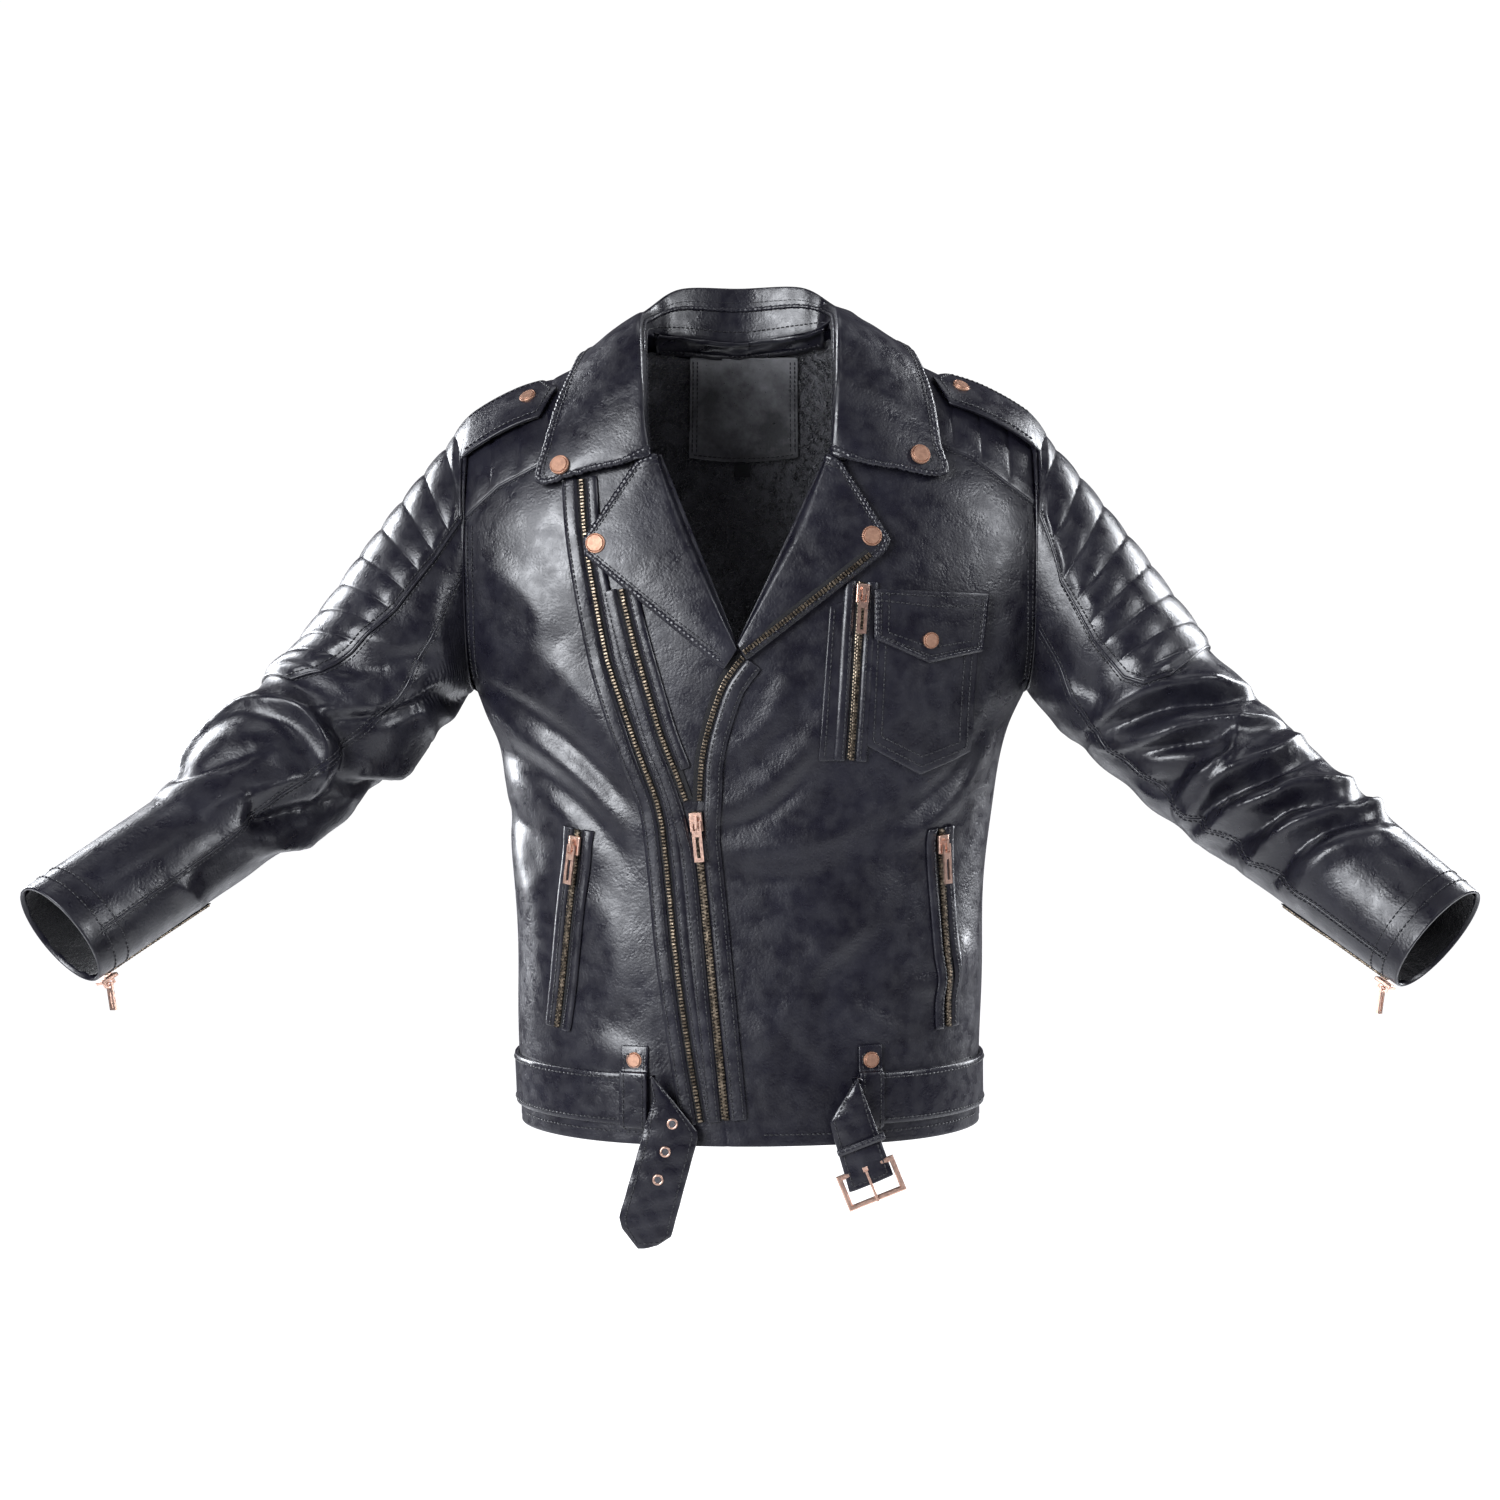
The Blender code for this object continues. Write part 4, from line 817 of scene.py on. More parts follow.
def tufts(points, normals, count, height, seed):
    """Short curled strands of pile standing on a grid."""
    rng = np.random.default_rng(seed)
    rows, columns = points.shape[:2]
    v, u = rng.random(count) * (rows - 1.01), rng.random(count) * (columns - 1.01)
    j, i = v.astype(int), u.astype(int)
    fv, fu = (v - j)[:, None], (u - i)[:, None]
    root = mix(mix(points[j, i], points[j, i + 1], fu), mix(points[j + 1, i], points[j + 1, i + 1], fu), fv)
    normal = normals[j, i]
    aside = unit(np.cross(normal, rng.normal(size=(count, 3))))
    other = np.cross(normal, aside)
    tall = height * (0.6 + 0.6 * rng.random(count))[:, None]
    curl = 0.0016 + 0.0012 * rng.random(count)[:, None]
    girth = (0.00042, 0.00046, 0.00040, 0.00026)
    steps = np.linspace(0, 1, len(girth))
    rings = []
    for k, share in enumerate(steps):
        turn = share * 4.2
        centre = root + normal * tall * np.sin(share * 1.7) + aside * curl * np.sin(turn)
        centre = centre + other * curl * (1 - np.cos(turn))
        circle = [aside * math.cos(t) * girth[k] + other * math.sin(t) * girth[k] for t in (0, 2.1, 4.2)]
        rings.append(np.stack([centre + c for c in circle], 1))
    verts = np.stack(rings, 1).reshape(-1, 3)
    return verts, repeated(grid_faces(len(girth), 3, ring=True), count, len(girth) * 3)


LINING_LIFT = -0.0062
LINING_HEM = HEM + 0.014


def lining():
    points, normals = back_grid(120, 130, LINING_HEM, LINING_LIFT, 0.016, 0.010)
    wool = np.sin(points[..., 0] * 700) * np.sin(points[..., 2] * 640) * 0.0004
    backing = leather("lining_back", points - normals * wool[..., None], -normals, 0.001, "root", PILE)
    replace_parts(backing, "lining")
    upper = points[..., 2] > -0.27
    first = int(np.argmax(upper.any(1)))
    verts, faces = tufts(points[first:], -normals[first:], 9000, 0.0034, 3)
    put("lining_pile", verts, faces.tolist(), PILE, "root")
    for side, hand in HANDS.items():
        inner = [(x + hand * 0.012, z) for x, z in front_edge(side)[:-1]] + [(hand * 0.086, -0.085)]
        inner[0] = (inner[0][0], LINING_HEM)
        heights = np.linspace(LINING_HEM, -0.135, 30)
        outer = np.stack((hand * (side_x(heights) - 0.016), heights), -1)
        seam = [inner[-1], (hand * 0.15, -0.095), tuple(outer[-1])]
        x, z = patch([inner[0], outer[0]], seam, inner, outer, 50, 90)
        points, normals = spot(x, z, FRONT, LINING_LIFT)
        leather(f"lining_{side}_front", points, -normals, 0.001, "root", PILE)


# The neck patch and the size label: left, right, low, high.
PATCH = (-0.0510, 0.0400, -0.0600, 0.0238)
LABEL = (-0.0130, 0.0, -0.0760, -0.0655)
PATCH_LIFT = -0.0100
PATCH_SAG = 0.0035


def inside_back(x, z, lift=PATCH_LIFT):
    """(points, normals) on the inside of the back, looking forwards."""
    points, normals = spot(x, z, BACK, lift)
    return points, -normals


def neck_patch():
    """Curved leather patch inside the back neck, stitched twice down its sides, and the label."""
    left, right, low, high = PATCH
    xs = np.linspace(left, right, 49)
    middle, half = (left + right) / 2, (right - left) / 2
    bottom = np.stack((xs, low - PATCH_SAG * (1 - ((xs - middle) / half) ** 2)), -1)
    top = [(left, high), (right, high)]
    x, z = patch(bottom, top, [bottom[0], top[0]], [bottom[-1], top[-1]], 48, 44)
    # The patch's leather is painted paler as light and sheen for the shaded inside of the neck.
    piece = leather("neck_leather_patch", *inside_back(x, z), 0.0018, "root", PATCH_LEATHER_PAINTED_LIGHT, rim=0.0007)
    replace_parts(piece, "neck_patch")
    z_line = np.linspace(low + 0.003, high - 0.002, 40)
    runs = []
    for inset in (0.0022, 0.0060):
        runs += [inside_back(np.full(40, edge), z_line) for edge in (left + inset, right - inset)]
    curved = np.linspace(left + 0.003, right - 0.003, 40)
    dip = low + 0.0022 - PATCH_SAG * (1 - ((curved - middle) / half) ** 2)
    stitches("neck_patch_stitches", runs + [inside_back(curved, dip)], "root")
    left, right, low, high = LABEL
    corners = (left, low), (right, low), (left, high), (right, high)
    x, z = patch(corners[:2], corners[2:], corners[::2], corners[1::2], 12, 10)
    points, normals = inside_back(x, z, PATCH_LIFT - 0.0004)
    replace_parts(leather("blank_size_label", points, normals, 0.0006, "root", TAPE, rim=0.0003), "size_label")


# ---------------------------------------------------------------- collar and lapels

# Around the neck from the right front end: seam x, seam z, side, height of the stand, how upright
# it stands, outer edge x, outer edge z.
COLLAR = np.array(
    (
        (-0.0735, -0.0720, -1, 0.0090, 0.0, -0.0890, -0.0790),
        (-0.0750, -0.0640, -1, 0.0095, 0.0, -0.1230, -0.0860),
        (-0.0765, -0.0480, -1, 0.0110, 0.0, -0.1575, -0.0945),
        (-0.0768, -0.0300, -1, 0.0130, 0.1, -0.1530, -0.0680),
        (-0.0775, -0.0130, -1, 0.0150, 0.2, -0.1470, -0.0450),
        (-0.0790, 0.0180, -1, 0.0200, 0.5, -0.1340, -0.0080),
        (-0.0785, 0.0340, 1, 0.0190, 0.8, -0.1220, 0.0090),
        (-0.0560, 0.0345, 1, 0.0385, 1.0, -0.0950, -0.0020),
        (-0.0085, 0.0315, 1, 0.0440, 1.0, -0.0085, -0.0120),
        (0.0400, 0.0370, 1, 0.0380, 1.0, 0.0800, 0.0060),
        (0.0620, 0.0400, 1, 0.0190, 0.8, 0.1080, 0.0160),
        (0.0622, 0.0200, -1, 0.0200, 0.5, 0.1270, -0.0030),
        (0.0620, -0.0130, -1, 0.0150, 0.2, 0.1370, -0.0400),
        (0.0616, -0.0310, -1, 0.0130, 0.1, 0.1405, -0.0640),
        (0.0612, -0.0480, -1, 0.0110, 0.0, 0.1450, -0.0880),
        (0.0608, -0.0640, -1, 0.0095, 0.0, 0.1090, -0.0830),
        (0.0604, -0.0720, -1, 0.0090, 0.0, 0.0740, -0.0775),
    )
)
# How far the collar's fall stands off the torso.
COLLAR_OUT = 0.0088


def collar_grid():
    columns, rows = 260, 54
    seam_x, seam_z, side, rise, upright_share, fall_x, fall_z = COLLAR.T
    seam, normal = spot(seam_x, seam_z, side)
    up = unit(mix(normal, np.array((0.0, 0.0, 1.0)), upright_share[:, None]))
    roll = seam + up * rise[:, None]
    fall, _ = spot(fall_x, fall_z, side, COLLAR_OUT)
    seam, roll, fall = (curve(line, columns) for line in (seam, roll, fall))
    outward, upward = unit(fall - roll), unit(roll - seam)
    crown = roll + outward * 0.0055 + upward * 0.0016
    lines = [seam, mix(seam, roll, 0.5), mix(seam, roll, 0.85)]
    lines += [roll + outward * 0.0016 + upward * 0.0004, crown]
    for share in (0.14, 0.3, 0.5, 0.75, 1.0):
        lines.append(mix(crown, fall, share) + upward * 0.009 * share * (1 - share))
    stack = np.stack(lines, 0)
    stack[5:] = pushed_out(stack[5:], COLLAR_OUT)
    dense = np.stack([curve(line, rows) for line in stack.transpose(1, 0, 2)], 0)
    wave = np.sin(np.linspace(0, 23, columns))[:, None] * np.linspace(0, 1, rows)[None] ** 2 * 0.0008
    dense = dense + grid_normals(dense) * wave[..., None]
    return dense, grid_normals(dense)


def collar():
    points, normals = collar_grid()
    normals = facing(normals, 30, -8, (0, -1, 0.2))
    piece = leather("folded_collar", points, normals, 0.0032, "root", LEATHER, rim=0.0014)
    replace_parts(piece, "collar")
    path, normal = edge_path(points, normals, 0.0075, 0.02, 0.98)
    runs = [(path + normal * STITCH_LIFT, normal)]
    runs += [(points[row, 24:-8], normals[row, 24:-8]) for row in (6, -7)]
    runs += [(points[10:-10, 9], -normals[10:-10, 9]), (points[6:-6, 2], normals[6:-6, 2])]
    stitches("collar_stitches", runs, "root")
    fold, fold_normals = points[72:-68, 7], normals[72:-68, 7]
    shares = np.linspace(0, 1, 400)
    line = along(fold, shares), -unit(along(fold, shares, fold_normals))
    rolled_edge("collar_stand_seam", *line, "root", 0.0012)
    rolled_edge("collar_edge", *rim_line(points[4:-4], normals[4:-4], 0.0022), "root", 0.0016)
    x = np.linspace(-0.0800, 0.0630, 90)
    top = np.interp(x, COLLAR[6:11, 0], COLLAR[6:11, 1]) + 0.004
    rows = np.linspace(0, 1, 24)[:, None]
    crumple = np.sin(x[None] * 260 + rows * 5) * 0.0003 + np.sin(x[None] * 95 - rows * 7 + 1) * 0.0005
    points, _ = spot(x[None] + 0 * rows, mix(top - 0.013, top, rows), BACK, -0.0080 + crumple)
    leather("collar_stand_facing", points, -grid_normals(points), 0.0016, "root", LEATHER, rim=0.0007)
    stitches("collar_facing_stitches", [inside_back(x, top - 0.0105, -0.0088)], "root")


# How far the lapels stand off the fronts, and their outer edges and roll lines in x and z.
LAPEL_LIFT = 0.0063
LAPEL_OUTER = {
    "right": [(-0.0840, -0.0765), (-0.1237, -0.1366), (-0.1226, -0.1479), (-0.0200, -0.2320)],
    "left": [(0.0670, -0.0770), (0.1038, -0.1367), (0.1000, -0.1458), (-0.0020, -0.2250)],
}
LAPEL_ROLL = {
    "right": [(-0.0690, -0.0720), (-0.0655, -0.0800), (-0.0435, -0.1340), (-0.0090, -0.2160)],
    "left": [(0.0570, -0.0720), (0.0535, -0.0800), (0.0260, -0.1400), (-0.0095, -0.2130)],
}


def lapel(side):
    t = np.linspace(0, 1, 121)
    roll, edge = along(LAPEL_ROLL[side], t), along(LAPEL_OUTER[side], t)
    u = np.linspace(0, 1, 41)[None, :, None]
    flat = mix(roll[:, None], edge[:, None], u)
    rise = LAPEL_LIFT + 0.0016 * np.sin(u[..., 0] * math.pi * 0.9)
    turned = 0.0105 * (1 - np.sqrt(1 - 0.98 * np.clip((0.12 - u[..., 0]) / 0.12, 0, 1) ** 2))
    points, _ = spot(flat[..., 0], flat[..., 1], FRONT, rise - turned)
    normals = facing(grid_normals(points), 60, 20, FORWARD)
    body = f"{side}_lapel"
    piece = leather(f"{side}_lapel_leather", points, normals, 0.0026, body, LEATHER, rim=0.0011)
    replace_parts(piece, f"{side}_lapel")
    runs = [edge_path(points, normals, 0.0065, 0.05, 0.97), (points[6, 4:-4], normals[6, 4:-4])]
    stitches(f"{side}_lapel_stitches", runs, body)
    rolled_edge(f"{side}_lapel_edge", *rim_line(points, normals, 0.0022, last=False), body, 0.0015)


# ---------------------------------------------------------------- snaps

# A snap's cap from its rim to its middle: share of the radius, height.
SNAP_PROFILE = (
    (1.04, -0.0008), (1.04, 0.0006), (1.01, 0.0012), (0.96, 0.0014), (0.91, 0.0012),
    (0.88, 0.0009), (0.86, 0.0009), (0.84, 0.0014), (0.82, 0.0018), (0.80, 0.0020),
    (0.78, 0.0020), (0.50, 0.0020), (0.15, 0.0020),
)
SNAP_SIDES = 40


def middle_of(node):
    low, high = (np.array(corner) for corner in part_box(node))
    return (low + high) / 2


def snap(node, body, centre, normal, radius, lift=0.0):
    """A flat metal cap with a rolled ring round it."""
    normal = unit(np.asarray(normal, float))
    centre = centre + normal * (lift - 0.0010)
    side = unit(np.cross(normal, (0, 0, 1.0)))
    up = np.cross(side, normal)
    turns = np.linspace(0, 2 * math.pi, SNAP_SIDES, endpoint=False)
    circle = np.cos(turns)[:, None] * side + np.sin(turns)[:, None] * up
    rings = [centre + circle * radius * r + normal * h for r, h in SNAP_PROFILE]
    verts = np.concatenate(rings + [(centre + normal * 0.0020)[None]])
    faces = grid_faces(len(SNAP_PROFILE), SNAP_SIDES, ring=True).tolist()
    start = (len(SNAP_PROFILE) - 1) * SNAP_SIDES
    faces += [(start + k, start + (k + 1) % SNAP_SIDES, len(verts) - 1) for k in range(SNAP_SIDES)]
    a, b, c = (verts[faces[90][k]] for k in (0, 1, 2))
    if np.dot(np.cross(b - a, c - a), normal) < 0:
        faces = [tuple(face)[::-1] for face in faces]
    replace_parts(put(f"{node}_cap", verts, faces, COPPER, body), node)


def snaps():
    rows = [("right_collar_snap", "root", 0.0074), ("left_collar_snap", "root", 0.0074)]
    for side in HANDS:
        rows.append((f"{side}_lapel_snap", f"{side}_lapel", 0.0074, 0.0010))
        rows.append((f"{side}_loop_snap", f"{side}_belt_loop", 0.0060))
    rows.append(("flap_snap", "chest_flap", 0.0060, 0.0012))
    for node, body, *shape in rows:
        centre = middle_of(node)
        snap(node, body, centre, spot(centre[0], centre[2])[1], *shape)
    for side, hand in HANDS.items():
        place = np.array([hand * (EPAULETTE_NECK[side] + 0.013)]), np.array([EPAULETTE_MIDDLE[side]])
        centre, normal = (v.reshape(3) for v in shoulder(*place, 0.0094))
        snap(f"{side}_epaulette_snap", f"{side}_epaulette", centre, normal, 0.0064)


# ---------------------------------------------------------------- zips

TOOTH_PITCH = 0.0026


def teeth(points, normals, width, closed):
    """Metal teeth along a path: one row, or two rows that mesh."""
    count = int(steps_of(points).sum() / (TOOTH_PITCH / (2 if closed else 1)))
    marks = (np.arange(count) + 0.5) / count
    middle = along(points, marks)
    normal = unit(along(points, marks, normals))
    ahead = unit(along(points, np.minimum(marks + 0.01, 1)) - along(points, np.maximum(marks - 0.01, 0)))
    across = unit(np.cross(normal, ahead))
    reach = width * (0.36 if closed else 0.5)
    shift = width * 0.14 * np.where(np.arange(count) % 2, 1, -1) if closed else np.zeros(count)
    centre = middle + across * shift[:, None]
    thick = TOOTH_PITCH * 0.36
    parts = []
    for grow, rise in ((0.92, -0.0004), (1.0, 0.0006), (0.92, 0.0012), (0.62, 0.0015)):
        for a, b in ((-1, -1), (1, -1), (1, 1), (-1, 1)):
            parts.append(centre + across * a * reach * grow + ahead * b * thick * grow + normal * rise)
    one = np.concatenate((grid_faces(4, 4, ring=True), [(12, 13, 14, 15)]))
    return np.stack(parts, 1).reshape(-1, 3), repeated(one, count, len(parts))


def chain(node, body, points, normals, width, closed, tape_width=0.0105):
    """A zip chain: woven tape under metal teeth."""
    grid, normal = strip(points, normals, tape_width, 0.0002, 0.0, 7)
    leather(f"{node}_woven_tape", grid, normal, 0.0006, body, TAPE, rim=0.0002)
    verts, faces = teeth(points + normals * 0.0008, normals, width, closed)
    piece = put(f"{node}_teeth", verts, faces.tolist(), BRASS, body, smooth=False)
    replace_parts(piece, node)


PLACKET_PUFF = 0.0012


def placket(name, path, low, high, rows, thickness=0.0024):
    """A stitched leather strip along a path of (x, z), between two offsets. rows: offsets of its stitches."""
    columns = 15
    points, normals = front_line(path, 0.0)
    _, across, _ = path_frame(points, normals)
    u = np.linspace(low, high, columns)
    flat = points[:, None] + across[:, None] * u[None, :, None]
    puff = PLACKET_PUFF * (1 - np.abs(np.linspace(-1, 1, columns)) ** 3)[None]
    grid, grid_normal = spot(flat[..., 0], flat[..., 2], FRONT, thickness + puff)
    grid_normal = unit(grid_normal - across[:, None] * np.gradient(puff[0], u)[None, :, None])
    leather(name, grid, grid_normal, thickness + 0.0004, "root", LEATHER, rim=0.0011)
    runs = []
    for offset in rows:
        line = points + across * offset
        puffed = PLACKET_PUFF * (1 - abs(2 * (offset - low) / (high - low) - 1) ** 3)
        runs.append(spot(line[:, 0], line[:, 2], FRONT, thickness + puffed + STITCH_LIFT))
    stitches(f"{name}_stitches", runs, "root")


RIGHT_OPEN = [
    (-0.0963, -0.1728), (-0.0911, -0.1968), (-0.0834, -0.2261), (-0.0748, -0.2558), (-0.0662, -0.2833),
    (-0.0559, -0.3094), (-0.0478, -0.3320),
]
LEFT_OPEN = [
    (-0.0050, -0.2235), (-0.0125, -0.2330), (-0.0210, -0.2470), (-0.0308, -0.2763), (-0.0361, -0.3023),
    (-0.0378, -0.3320),
]
CLOSED = [(-0.0410, -0.3400), (-0.0365, -0.3870), (-0.0185, -0.5740)]
SECOND = [
    (-0.1272, -0.0900), (-0.1245, -0.1260), (-0.1190, -0.1645), (-0.1095, -0.2162), (-0.1026, -0.2405),
    (-0.0855, -0.2887), (-0.0687, -0.3364), (-0.0630, -0.3790), (-0.0563, -0.4466), (-0.0466, -0.5202),
    (-0.0372, -0.5762),
]


def zips():
    for node, path, closed in (
        ("right_zip_chain", RIGHT_OPEN, False),
        ("left_zip_chain", LEFT_OPEN, False),
        ("closed_zip_chain", CLOSED, True),
        ("second_zip_chain", SECOND, False),
    ):
        chain(node, "root", *front_line(path, 0.0012), 0.0054 if closed else 0.0038, closed)
    right_side = RIGHT_OPEN[:-1] + [(-0.0490, -0.3290), (-0.0405, -0.3600)] + CLOSED[1:]
    left_side = LEFT_OPEN[:-1] + [(-0.0372, -0.3290), (-0.0388, -0.3600)] + CLOSED[1:]
    placket("right_main_placket", right_side, -0.0150, -0.0040, (-0.0062, -0.0125))
    placket("right_inner_placket", RIGHT_OPEN[:-1], 0.0038, 0.0120, (0.0058,))
    placket("left_main_placket", left_side, 0.0038, 0.0160, (0.0060, 0.0138))
    placket("second_outer_placket", SECOND, -0.0150, -0.0038, (-0.0058, -0.0125))
    placket("second_inner_placket", SECOND, 0.0038, 0.0120, (0.0058,))


def lapel_chain():
    low, high = np.array(LAPEL_OUTER["left"][3]), np.array(LAPEL_OUTER["left"][2])
    flat = mix(low, high, np.linspace(0.0, 0.92, 60)[:, None]) + (-0.0030, 0.0042)
    points, normals = spot(flat[:, 0], flat[:, 1], FRONT, LAPEL_LIFT + 0.0014)
    chain("left_lapel_chain", "left_lapel", points, normals, 0.0038, False, 0.0095)


def framed_zip(prefix, top, bottom):
    """A pocket zip: tape and teeth between two stitched leather lips."""
    flat = mix(np.array(top), np.array(bottom), np.linspace(0, 1, 90)[:, None])
    points, normals = spot(flat[:, 0], flat[:, 1], FRONT, 0.0012)
    chain(f"{prefix}_zip_tape", "root", points, normals, 0.0052, True, 0.0110)
    path = [top, tuple(mix(np.array(top), np.array(bottom), 0.5)), bottom]
    for k, (low, high, row) in enumerate(((-0.0125, -0.0042, -0.0068), (0.0042, 0.0125, 0.0068))):
        placket(f"{prefix}_zip_lip_{k}", path, low, high, (row,), 0.0021)


def pocket_zips():
    framed_zip("chest", (0.0836, -0.1680), (0.0750, -0.3010))
    framed_zip("right_hip", (-0.1300, -0.3560), (-0.1480, -0.5100))
    framed_zip("left_hip", (0.1450, -0.3560), (0.1520, -0.5100))
    welt = [(0.0607, -0.1864), (0.0519, -0.3010)], [(0.0740, -0.1811), (0.0672, -0.3010)]
    x, z = patch([welt[0][1], welt[1][1]], [welt[0][0], welt[1][0]], welt[0][::-1], welt[1][::-1], 14, 90)
    points, normals = spot(x, z, FRONT, 0.0014)
    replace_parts(leather("chest_welt_strip", points, normals, 0.0016, "root", LEATHER), "chest_zip_welt")
    stitches("chest_welt_stitches", sewn(x, z, 0.0014 + 0 * x, np.s_[2:-2, 3], np.s_[2:-2, -4]), "root")


# ---------------------------------------------------------------- chest pocket


def sewn(x, z, lift, *places):
    """Stitch paths just above a grid on the front, each a slice of it."""
    return [spot(x[place], z[place], FRONT, lift[place] + STITCH_LIFT) for place in places]


def pocket():
    top = [(0.0930, -0.1780), (0.1740, -0.1830)]
    bottom = [(0.0875, -0.2895), (0.1287, -0.3125), (0.1680, -0.2962)]
    x, z = patch(bottom, top, [bottom[0], top[0]], [bottom[-1], top[-1]], 56, 70)
    bulge = np.sin(np.linspace(0, math.pi, 57))[None]
    full = 0.0026 + 0.0020 * bulge * np.sin(np.linspace(0.2, math.pi, 71))[:, None]
    points, normals = spot(x, z, FRONT, full)
    piece = leather("chest_pocket_leather", points, normals, 0.0040, "root", LEATHER, rim=0.0010)
    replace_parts(piece, "chest_pocket")
    runs = []
    for k in (3, 7):
        runs += sewn(x, z, full, np.s_[k:-2, k], np.s_[k:-2, -1 - k], np.s_[k, k:-k])
    stitches("chest_pocket_stitches", runs, "root")
    top = [(0.0932, -0.1740), (0.1788, -0.1763)]
    bottom = [(0.0932, -0.2096), (0.1338, -0.2271), (0.1745, -0.2182)]
    x, z = patch(bottom, top, [bottom[0], top[0]], [bottom[-1], top[-1]], 60, 34)
    lift = 0.0056 + 0.0012 * np.sin(np.linspace(0, math.pi, 61))[None] + 0 * x
    points, normals = spot(x, z, FRONT, lift)
    piece = leather("chest_flap_leather", points, normals, 0.0022, "chest_flap", LEATHER, rim=0.0010)
    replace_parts(piece, "chest_flap")
    runs = []
    for k in (3, 7):
        runs += sewn(x, z, lift, np.s_[k:-1, k], np.s_[k:-1, -1 - k], np.s_[k, k:-k])
    runs += sewn(x, z, lift, np.s_[-3, 2:-2], np.s_[-8, 2:-2])
    stitches("chest_flap_stitches", runs, "chest_flap")
    middle = points.shape[1] // 2
    for half, columns in (("left", np.s_[::-1, middle:]), ("right", np.s_[::-1, middle::-1])):
        line = rim_line(points[columns], normals[columns], 0.0016, first=False)
        rolled_edge(f"chest_flap_{half}_edge", *line, "chest_flap", 0.0012)


# ---------------------------------------------------------------- epaulettes

# Where the straps lie over the shoulder, as a turn of its arch, and half their width as a turn.
EPAULETTE_MIDDLE = {"right": -0.56, "left": -0.47}
EPAULETTE_TURN = 0.25
EPAULETTE_NECK = {"right": 0.1560, "left": 0.1480}
# The row where the strap folds. The rows beyond it are sewn into the armhole.
EPAULETTE_FOLD = 51


def epaulette(side):
    hand = HANDS[side]
    turn = np.linspace(-1, 1, 25)
    rows = np.linspace(0, 1, 60)[:, None]
    start = EPAULETTE_NECK[side] - 0.0080 + 0.012 * np.abs(turn)[None]
    x = hand * mix(start, 0.2300, rows)
    arc = 0.0062 + 0.0030 * np.sin(rows * math.pi) ** 0.7 + 0 * x
    points, normals = shoulder(x, EPAULETTE_MIDDLE[side] + EPAULETTE_TURN * turn[None], arc)
    curl = np.clip((np.abs(x) - 0.212) / 0.018, 0, 1) ** 2 * 0.0060
    points = points - np.array((0, 0, 1.0)) * curl[..., None]
    normals = facing(grid_normals(points), 30, 12, UPWARD)
    fixed = slice(EPAULETTE_FOLD - 1, None)
    leather(f"{side}_epaulette_end", points[fixed], normals[fixed], 0.0026, "root", LEATHER)
    points, normals = points[:EPAULETTE_FOLD], normals[:EPAULETTE_FOLD]
    piece = leather(f"{side}_epaulette_strap", points, normals, 0.0026, f"{side}_epaulette", LEATHER)
    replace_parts(piece, f"{side}_epaulette")
    runs = [(points[3:-2, k] + normals[3:-2, k] * STITCH_LIFT, normals[3:-2, k]) for k in (2, -3)]
    runs.append((points[3, 2:-2], normals[3, 2:-2]))
    stitches(f"{side}_epaulette_stitches", runs, f"{side}_epaulette")


# ---------------------------------------------------------------- belt

BELT_LOW, BELT_HIGH = -0.5790, -0.5410


def belt_ring(z, lift):
    """Points round the back from the right loop to the left one at heights z."""
    columns = 200
    half = read(TORSO, np.array(-0.56), 1)
    start = math.asin((0.0780 / half) ** (SQUARE / 2))
    end = math.asin((0.0835 / half) ** (SQUARE / 2))
    angle = np.linspace(start - math.pi, math.pi - end, columns)[None]
    sine = np.sin(angle)
    z = np.asarray(z)[:, None] + 0 * angle
    x = np.sign(sine) * np.abs(sine) ** (2 / SQUARE) * read(TORSO, z, 1)
    side = np.where(np.cos(angle) > 0, BACK, FRONT) + 0 * z
    return spot(x, z, side, lift)


def belt():
    points, normals = belt_ring(np.linspace(BELT_LOW, BELT_HIGH, 15), 0.0038)
    piece = strap("belt_band", points, normals, 0.0032, 0.0007, "root")
    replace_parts(piece, "belt_back")
    runs = []
    for z in (BELT_LOW + 0.0032, BELT_HIGH - 0.0032):
        p, n = belt_ring([z], 0.0039)
        runs.append((p[0], n[0]))
    stitches("belt_stitches", runs, "root")
    path = [
        (-0.5860, 0.0022), (-0.5825, 0.0026), (-0.5795, 0.0066), (-0.5600, 0.0070), (-0.5405, 0.0068),
        (-0.5375, 0.0034), (-0.5198, 0.0026),
    ]
    line = curve(path, 60)
    for side, edges in (("right", (-0.0961, -0.0775)), ("left", (0.0830, 0.0990))):
        x = np.linspace(*edges, 17)[None]
        points, normals = spot(x, line[:, :1], FRONT, line[:, 1:] + 0 * x)
        normals = facing(grid_normals(points), 30, 8, FORWARD)
        body = f"{side}_belt_loop"
        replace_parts(leather(f"{side}_loop_leather", points, normals, 0.0018, body, SMOOTH_LEATHER), body)
        runs = [(points[3:-3, k], normals[3:-3, k]) for k in (2, -3)]
        runs += [(points[k, 2:-2], normals[k, 2:-2]) for k in (3, -4)]
        stitches(f"{side}_loop_stitches", runs, body)


# The middle of the hanging straps, front to back, and their edges in x and z.
STRAP_Y = -0.1280
TONGUE_LEFT = [
    (-0.0752, -0.5400), (-0.0728, -0.5569), (-0.0986, -0.6473), (-0.0965, -0.6560), (-0.0850, -0.6712)
]
TONGUE_RIGHT = [
    (-0.0722, -0.5400), (-0.0400, -0.5815), (-0.0396, -0.5860), (-0.0600, -0.6623), (-0.0700, -0.6690)
]
EYELETS = ((-0.0586, -0.5753), (-0.0640, -0.5965), (-0.0695, -0.6178))


